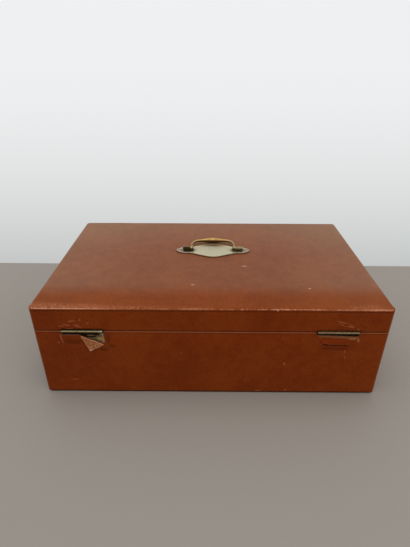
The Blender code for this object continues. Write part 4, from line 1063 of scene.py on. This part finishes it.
class CHEST_OT_torn_flap(Operator):
    """Make the flap of leather that hangs from the tear, flesh side out"""
    bl_idname = "chest.torn_flap"
    bl_label = "Torn flap"

    def execute(self, context):
        sizes = context.scene.chest_sizes
        down = -tear_edges[0][1]
        drop = (tear_tip - tear_left).dot(down)
        shape = bmesh.new()
        corners = [shape.verts.new(place) for place in (tear_left, tear_low, tear_tip)]
        bmesh.ops.contextual_create(shape, geom=corners)
        bmesh.ops.subdivide_edges(shape, edges=shape.edges, cuts=17, use_grid_fill=True)
        mark = shape.verts.layers.float.new("edge")
        for vert in shape.verts:
            reach = max(0, (vert.co - tear_left).dot(down) / drop)
            along = (vert.co - tear_left).dot(tear_fold) / tear_fold.length_squared
            vert[mark] = float(vert.is_boundary)
            place = vert.co * 420
            wave = noise.noise(place) * 0.0004
            curl = sizes.flap_lift * reach ** 1.5 + 0.0012 * reach * smooth_step(along, 0.55, 1.0)
            if vert.is_boundary:
                vert.co += waver(place * 2, 5) * 0.0008
            vert.co.y -= 0.0005 + sizes.flap / 2 + curl + abs(wave)
        bmesh.ops.recalc_face_normals(shape, faces=shape.faces)
        flap = piece("torn_flap", shape, "leather_flesh", "chest", "torn_leather_flap", angle=60)
        thicken(flap, sizes.flap, 0)
        return {"FINISHED"}


# Handle

plate_outline_shares = (
    (0.00, 1.00), (0.09, 0.97), (0.19, 0.89), (0.30, 0.77), (0.41, 0.65), (0.50, 0.54), (0.58, 0.46),
    (0.66, 0.42), (0.76, 0.43), (0.85, 0.37), (0.93, 0.24), (0.98, 0.11), (1.00, 0.00),
)


class CHEST_OT_handle_plate(Operator):
    """Make the plate under the handle, with its raised rim and the rosettes on its lobes"""
    bl_idname = "chest.handle_plate"
    bl_label = "Handle plate"

    def execute(self, context):
        low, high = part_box("handle_plate")
        middle = (low + high) / 2
        half = (high - low) / 2
        quarter = [Vector((half.x * x, half.y * y, 0)) for x, y in plate_outline_shares]
        flipped = [Vector((place.x, -place.y, 0)) for place in quarter]
        right = flipped + quarter[-2::-1]
        left = [Vector((-place.x, place.y, 0)) for place in reversed(right[1:-1])]
        base = Vector((middle.x, middle.y, low.z))
        shape = bmesh.new()
        ring = [shape.verts.new(base + place) for place in curved(right + left, 4)]
        bmesh.ops.contextual_create(shape, geom=ring)
        grown = bmesh.ops.extrude_face_region(shape, geom=list(shape.faces))
        bmesh.ops.translate(shape, verts=grown_verts(grown), vec=(0, 0, high.z - low.z))
        bmesh.ops.recalc_face_normals(shape, faces=shape.faces)
        rim = context.scene.chest_sizes.plate_rim
        insets = ((0.00025, 0.00012), (rim - 0.0006, 0.00005), (0.0003, -0.00025), (0.00035, -0.0005))
        for inset, depth in insets:
            upper = [face for face in shape.faces if face.normal.z > 0.5]
            top = max(upper, key=lambda face: face.calc_area())
            bmesh.ops.inset_region(shape, faces=[top], thickness=inset, depth=depth, use_even_offset=True)
        piece("plate", shape, "plate_brass", "lid", "handle_plate", angle=50)
        return {"FINISHED"}


post_profile = (
    (0, 0), (0.72, 0), (0.93, 0.0002), (1, 0.0008), (0.94, 0.0017), (0.80, 0.0021), (0.84, 0.0030),
)


class CHEST_OT_handle_posts(Operator):
    """Make the two turned posts that hold the bail"""
    bl_idname = "chest.handle_posts"
    bl_label = "Handle posts"

    def execute(self, context):
        foot_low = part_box("handle_plate")[0].z + 0.0015
        half = 0.0054
        foot_half_x, foot_half_y = 0.0042, 0.0027
        for side, way in (("left", -1), ("right", 1)):
            low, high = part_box(f"handle_post_{side}")
            outer, inner = (low.x, high.x) if way < 0 else (high.x, low.x)
            middle = Vector((outer - way * half, bail_axis.y, bail_axis.z))
            bead = high.z - middle.z
            near = [(bead * share, depth - half) for share, depth in post_profile]
            far = [(radius, -along) for radius, along in reversed(near)]
            shape = bmesh.new()
            turned(shape, [*near, (bead * 0.92, 0), *far], middle, Vector((1, 0, 0)))
            foot_ends = (middle.x - foot_half_x, middle.x + foot_half_x)
            toe_ends = sorted((inner, middle.x + way * half * 0.9))
            for ends, top, edge in (
                (foot_ends, middle.z - 0.0004, 0.0006),
                (toe_ends, foot_low + 0.0012, 0.0004),
            ):
                lowest = Vector((ends[0], middle.y - foot_half_y, foot_low))
                highest = Vector((ends[1], middle.y + foot_half_y, top))
                join(shape, rounded_box(lowest, highest, 0.0010, 0, edge, 4, 3))
            piece(f"post_{side}", shape, "dark_bronze", "lid", f"handle_post_{side}")
        return {"FINISHED"}


class CHEST_OT_bail(Operator):
    """Make the bail, swelling to a collared grip"""
    bl_idname = "chest.bail"
    bl_label = "Bail"

    def execute(self, context):
        reach, half, corner, bend, bow = 0.0264, 0.0306, 0.0140, 0.0015, 0.0008
        leg, wire, swell, collar = 0.0014, 0.0016, 0.0022, 0.0043
        start, collar_start, clearance = half - corner, 0.0055, 0.0009
        path = [(0.0411, 0, leg), (0.0326, 0, leg)]
        for turn in (math.radians(30 * n) for n in range(1, 4)):
            path.append((half + bend - bend * math.sin(turn), bend - bend * math.cos(turn), 0.0019))
        path += [(half, 0.0032, 0.0019), (half, 0.0050, 0.0021), (half, 0.0060, 0.0017), (half, 0.0085, wire)]
        path += [(half, reach - corner - 0.004, wire)]
        for n in range(11):
            turn = math.radians(9 * n)
            across, out = corner * math.cos(turn), corner * math.sin(turn)
            path.append((start + across, reach - corner + out, wire + swell * 0.25 * n / 10))
        shares = [n / 12 for n in range(1, 13)]
        grip = [
            (start + (collar_start - start) * share, wire + swell * (0.25 + 0.75 * share)) for share in shares
        ]
        grip += [(0.0053, 0.0040), (0.0050, collar), (0.0046, collar), (0.0043, 0.0040), (0.0041, 0.0038)]
        grip += [(0.0030, 0.0040), (0.0018, 0.0041)]
        path += [(x, reach + bow * (1 - (x / start) ** 2), radius) for x, radius in grip]
        right = [(Vector((x, y, 0)), radius) for x, y, radius in path]
        left = [(Vector((-place.x, place.y, 0)), radius) for place, radius in reversed(right)]
        shape = bmesh.new()
        sweep(shape, right + left, Vector((0, 0, 1)), 20)
        tilt = math.asin((bail_axis.z - (lid_high.z + clearance + collar)) / reach)
        place = Matrix.Translation(bail_axis) @ Matrix.Rotation(-tilt, 4, "X")
        bmesh.ops.transform(shape, verts=shape.verts, matrix=place)
        shape.normal_update()
        # Marks the downward faces, where shade and a reflection are painted dark.
        mark = shape.verts.layers.float.new("under")
        for vert in shape.verts:
            vert[mark] = 1 - smooth_step(vert.normal.z, 0.30, 0.62)
        piece("bail_grip", shape, "gilt_brass", "bail", "bail", angle=50)
        return {"FINISHED"}


# Linings, pad, tray and racks

class CHEST_OT_linings(Operator):
    """Make the velvet and satin linings, and the felt under the base"""
    bl_idname = "chest.linings"
    bl_label = "Linings"

    def execute(self, context):
        sizes = context.scene.chest_sizes
        for name, node, slot, body, boards in (
            ("velvet_walls", "wall_lining", "velvet", "chest", ["left_board", "right_board"]),
            ("satin_walls", "lid_wall_lining", "satin", "lid", ["lid_left_rail", "lid_right_rail"]),
        ):
            low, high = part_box(node)
            shape = rounded_box(low, high, 0.0025, 0, 0, 5)
            slice_evenly(shape, low, high, 0.02)
            slice_across(shape, 0, (-lock_high.x, lock_high.x))
            slice_across(shape, 2, [lock_low.z, *steps(low.z, high.z, 0.02)[1:-1]])
            remove(shape, lambda place: min(abs(place.z - low.z), abs(place.z - high.z)) < touch)
            if body == "chest":
                remove(shape, lambda place: abs(place.x) < lock_high.x and place.y > high.y - touch
                       and place.z > lock_low.z)
            for vert in shape.verts:
                vert.co -= vert.normal * (0.0001 + abs(noise.noise(vert.co * 30)) * 0.00015)
            lining = piece(name, shape, slot, body, node)
            thicken(lining, sizes.lining)
        for name, node, slot in (
            ("velvet_floor", "floor_lining", "velvet"),
            ("felt_base", "base_felt", "felt"),
        ):
            low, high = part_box(node)
            shape = rounded_box(low, high, 0.002, 0.0004, 0.0004, 4, 2)
            slice_evenly(shape, low, high, 0.012)
            item = piece(name, shape, slot, "chest", node)
        return {"FINISHED"}


def filled_out(context, shape, held):
    """Return where a shape's vertices come to lie when the cloth between the held ones is filled."""
    mesh = bpy.data.meshes.new("unfilled")
    shape.to_mesh(mesh)
    item = bpy.data.objects.new("unfilled", mesh)
    context.scene.collection.objects.link(item)
    pins = item.vertex_groups.new(name="held")
    pins.add([vert.index for vert in mesh.vertices if held(vert.co)], 1, "REPLACE")
    cloth = item.modifiers.new("filling", "CLOTH")
    cloth.settings.vertex_group_mass = pins.name
    cloth.settings.use_pressure = True
    cloth.settings.uniform_pressure_force = 4
    cloth.settings.shrink_min = -0.02
    cloth.settings.effector_weights.gravity = 0
    for number in range(1, 21):
        context.scene.frame_set(number)
    settled = item.evaluated_get(context.evaluated_depsgraph_get())
    places = [vert.co.copy() for vert in settled.data.vertices]
    context.scene.frame_set(1)
    bpy.data.objects.remove(item)
    bpy.data.meshes.remove(mesh)
    return places


class CHEST_OT_lid_pad(Operator):
    """Make the padded satin panel under the lid's top, filled out between its glued side and its edges"""
    bl_idname = "chest.lid_pad"
    bl_label = "Lid pad"

    def execute(self, context):
        crown = context.scene.chest_sizes.pad_crown
        low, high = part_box("lid_cushion")
        edge = 0.003
        shape = rounded_box(low + Vector((0, 0, crown)), high, 0.006, edge, 0, 8, 4)
        slice_evenly(shape, low, high, 0.005)

        def inset(place):
            return min(high.x - abs(place.x), high.y - abs(place.y))

        def held(place):
            return place.z > high.z - touch or inset(place) < edge + touch

        places = filled_out(context, shape, held)
        shifts = [place - vert.co for vert, place in zip(shape.verts, places)]
        most = max(shift.length for shift in shifts)
        for vert, shift in zip(shape.verts, shifts):
            vert.co += shift.normalized() * crown * math.sqrt(shift.length / most)
        pad = piece("satin_pad", shape, "satin", "lid", "lid_cushion", angle=60)
        rounder = pad.modifiers.new("rounder", "SUBSURF")
        rounder.levels = rounder.render_levels = 1
        return {"FINISHED"}


class CHEST_OT_pull_tabs(Operator):
    """Make the two looped ribbons that lift the tray"""
    bl_idname = "chest.pull_tabs"
    bl_label = "Pull tabs"

    def execute(self, context):
        thick = context.scene.chest_sizes.ribbon
        for side, name in ((-1, "left"), (1, "right")):
            low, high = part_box(f"tray_tab_{name}")
            outer, inner = (low.x, high.x) if side < 0 else (high.x, low.x)
            outer_run = outer - side * thick * 0.6
            inner_run = inner + side * thick * 0.6
            middle = (outer_run + inner_run) / 2
            radius = abs(outer_run - inner_run) / 2
            path = [Vector((outer_run, 0, z)) for z in steps(low.z, high.z - 0.002, 0.002)]
            for turn in (math.radians(30 * n) for n in range(1, 6)):
                across, up = side * radius * math.cos(turn), radius * math.sin(turn)
                path.append(Vector((middle + across, 0, high.z - 0.0006 + up)))
            path += [Vector((inner_run, 0, z)) for z in reversed(steps(low.z + 0.004, high.z - 0.002, 0.002))]
            shape = bmesh.new()
            ends = [shape.verts.new(path[0] + Vector((0, y, 0))) for y in (low.y, high.y)]
            edges = [shape.edges.new(ends)]
            for start, end in zip(path, path[1:]):
                grown = bmesh.ops.extrude_edge_only(shape, edges=edges)
                edges = grown_edges(grown)
                bmesh.ops.translate(shape, verts=grown_verts(grown), vec=end - start)
            slice_across(shape, 1, steps(low.y, high.y, 0.003)[1:-1])
            bmesh.ops.recalc_face_normals(shape, faces=shape.faces)
            tab = piece(f"ribbon_{name}", shape, "ribbon", "tray", f"tray_tab_{name}", angle=60)
            thicken(tab, thick, 0)
        return {"FINISHED"}


def make_softer(prefix, slot, radius, wanted):
    """Make nodes again with soft edges, for the names that pass a test."""
    for body, nodes in frame["record"]["behaviour"]["bodies"].items():
        for node in filter(wanted, nodes):
            shape = bmesh.new()
            shape.from_mesh(frame["nodes"][node].data)
            bmesh.ops.remove_doubles(shape, verts=shape.verts, dist=touch / 5)
            bmesh.ops.dissolve_limit(shape, angle_limit=math.radians(1), verts=shape.verts, edges=shape.edges)
            soften(piece(f"{prefix}_{node}", shape, slot, body, node), radius)


class CHEST_OT_covered_pieces(Operator):
    """Make the tray, racks and ledges with the soft edges that velvet gives them"""
    bl_idname = "chest.covered_pieces"
    bl_label = "Tray and racks"

    def execute(self, context):
        def covered(node):
            return node.startswith(("tray_", "lower_rack_")) and "tab" not in node

        make_softer("covered", "covered_wood", context.scene.chest_sizes.softening, covered)
        return {"FINISHED"}


class CHEST_OT_hinges(Operator):
    """Make the hinge leaves with smooth barrels and eased edges"""
    bl_idname = "chest.hinges"
    bl_label = "Hinges"

    def execute(self, context):
        radius = context.scene.chest_sizes.hinge_edge
        make_softer("smooth", "aged_brass", radius, lambda node: "hinge_leaf" in node)
        return {"FINISHED"}


slot_words = (
    ("aged_brass", ("hinge",)), ("dark_bronze", ("post",)), ("gilt_brass", ("bail", "escutcheon")),
    ("plate_brass", ("handle_plate", "link_plate", "lock_case")), ("pine", ("board", "rail")),
    ("steel", ("screw", "nut", "key", "lock_bolt")), ("leather", ("leather",)),
    ("satin", ("lid_cushion", "lid_wall")), ("felt", ("felt",)), ("ribbon", ("tab",)),
)


class CHEST_OT_finishes(Operator):
    """Give the nodes that stay in sight their finishes"""
    bl_idname = "chest.finishes"
    bl_label = "Finishes of the nodes"

    def execute(self, context):
        for name, node in frame["nodes"].items():
            slot = next((slot for slot, words in slot_words if any(word in name for word in words)), "velvet")
            node.data.materials.clear()
            node.data.materials.append(finish_of(slot))
        return {"FINISHED"}


# Stage

camera_place = Vector((-0.00518, -0.50520, 0.38257))
camera_turn = (-0.346, 29.024, 0.1545)
table_end = 0.2225


def light(name, place, target, size, power, tone):
    """Add a soft lamp that points at a place."""
    lamp = bpy.data.lights.new(name, "AREA")
    lamp.shape = "DISK"
    lamp.size = size
    lamp.energy = power
    lamp.color = tone
    item = bpy.data.objects.new(name, lamp)
    item.location = place
    item.rotation_euler = (target - place).to_track_quat("-Z", "Y").to_euler()
    bpy.context.scene.collection.objects.link(item)


class CHEST_OT_stage(Operator):
    """Set the floor, the pale backdrop, the lamps and the camera"""
    bl_idname = "chest.stage"
    bl_label = "Stage"

    def execute(self, context):
        scene = context.scene
        colours = scene.chest_colours
        shape = bmesh.new()
        bmesh.ops.create_grid(shape, x_segments=1, y_segments=1, size=9)
        mesh = bpy.data.meshes.new("floor")
        shape.to_mesh(mesh)
        shape.free()
        floor = bpy.data.objects.new("floor", mesh)
        scene.collection.objects.link(floor)
        mesh.materials.append(self.floor_finish(colours))
        light("key_light", Vector((-0.12, -0.20, 1.85)), Vector((0, 0, 0.08)), 1.7, 11, (1, 0.99, 0.97))
        light("fill_light", Vector((1.2, -1.2, 0.8)), Vector((0.1, 0, 0.06)), 1.3, 3.2, (1, 0.78, 0.55))
        sky = Nodes(bpy.data.worlds.new("studio"))
        lit = sky.node("Background", None, {"Color": (0.95, 0.98, 1.0, 1), "Strength": 0.78})
        seen = sky.node("Background", None, {"Color": (*colours.backdrop, 1)})
        sky.blend(sky.rays("Camera", "Glossy"), lit, seen)
        scene.world = sky.made
        scene.view_settings.view_transform = "Standard"
        self.camera(scene)
        return {"FINISHED"}

    def floor_finish(self, colours):
        """Matt table that ends a little behind the chest, with pale ground in place of a backdrop beyond, which
        glows for camera and glossy rays and is painted darker towards the table as shade.
        """
        floor = Finish("table", colours.table, Roughness=0.6, Specular_IOR_Level=0.2)
        x, y = floor.axes("XY")
        beyond = (y + x * 0.0063).rise(table_end - 0.0008, table_end + 0.0008)
        floor.lay((floor.noise(60, 3) * 0.25, (0.280, 0.250, 0.220)), (beyond, colours.backdrop))
        # Painted shade on the glowing backdrop, darker nearer the table.
        nearness = (table_end - camera_place.y) / (y - camera_place.y).most(0.1)
        tone = floor.tint(nearness.least(1) ** 1.6, colours.backdrop, colours.backdrop_low)
        glow = floor.node("Emission", None, {"Color": tone, "Strength": 1})
        seen = floor.rays("Camera", "Glossy", "Transmission")
        floor.blend(beyond * seen, Signal(floor, floor.shader.outputs[0]), glow)
        return floor.paint()

    def camera(self, scene):
        """Stand where the photograph was taken from."""
        yaw, pitch, roll = (math.radians(angle) for angle in camera_turn)
        ahead = Vector((math.sin(yaw) * math.cos(pitch), math.cos(yaw) * math.cos(pitch), -math.sin(pitch)))
        level = Vector((math.cos(yaw), -math.sin(yaw), 0))
        upright = level.cross(ahead)
        right = level * math.cos(roll) + upright * math.sin(roll)
        up = upright * math.cos(roll) - level * math.sin(roll)
        turn = Matrix((right, up, -ahead)).transposed().to_4x4()
        lens = bpy.data.cameras.new("camera")
        lens.lens = 26.247
        lens.sensor_width = 36
        lens.clip_start = 0.01
        view = bpy.data.objects.new("camera", lens)
        view.matrix_world = Matrix.Translation(camera_place) @ turn
        scene.collection.objects.link(view)
        scene.camera = view


class CHEST_PT_panel(Panel):
    """Sizes, colours and pieces of the chest"""
    bl_idname = "CHEST_PT_panel"
    bl_label = "Cutlery chest"
    bl_space_type = "VIEW_3D"
    bl_region_type = "UI"
    bl_category = "Chest"

    def draw(self, context):
        for group in (context.scene.chest_sizes, context.scene.chest_colours):
            for name in group.__annotations__:
                self.layout.prop(group, name)
        for operator in operators:
            self.layout.operator(operator.bl_idname)


operators = (
    CHEST_OT_finishes, CHEST_OT_body_cover, CHEST_OT_lid_cover, CHEST_OT_torn_flap, CHEST_OT_handle_plate,
    CHEST_OT_handle_posts, CHEST_OT_bail, CHEST_OT_linings, CHEST_OT_lid_pad, CHEST_OT_pull_tabs,
    CHEST_OT_covered_pieces, CHEST_OT_hinges, CHEST_OT_stage,
)
classes = (ChestSizes, ChestColours, *operators, CHEST_PT_panel)


def register():
    """Register the classes and hang the properties on the scene."""
    for item in classes:
        bpy.utils.register_class(item)
    bpy.types.Scene.chest_sizes = PointerProperty(type=ChestSizes)
    bpy.types.Scene.chest_colours = PointerProperty(type=ChestColours)


def unregister():
    """Take the properties and classes away again."""
    del bpy.types.Scene.chest_colours
    del bpy.types.Scene.chest_sizes
    for item in reversed(classes):
        bpy.utils.unregister_class(item)


def main():
    """Register the classes, then make every piece and the stage."""
    register()
    for operator in operators:
        group, name = operator.bl_idname.split(".")
        getattr(getattr(bpy.ops, group), name)()


if __name__ == "__main__":
    main()
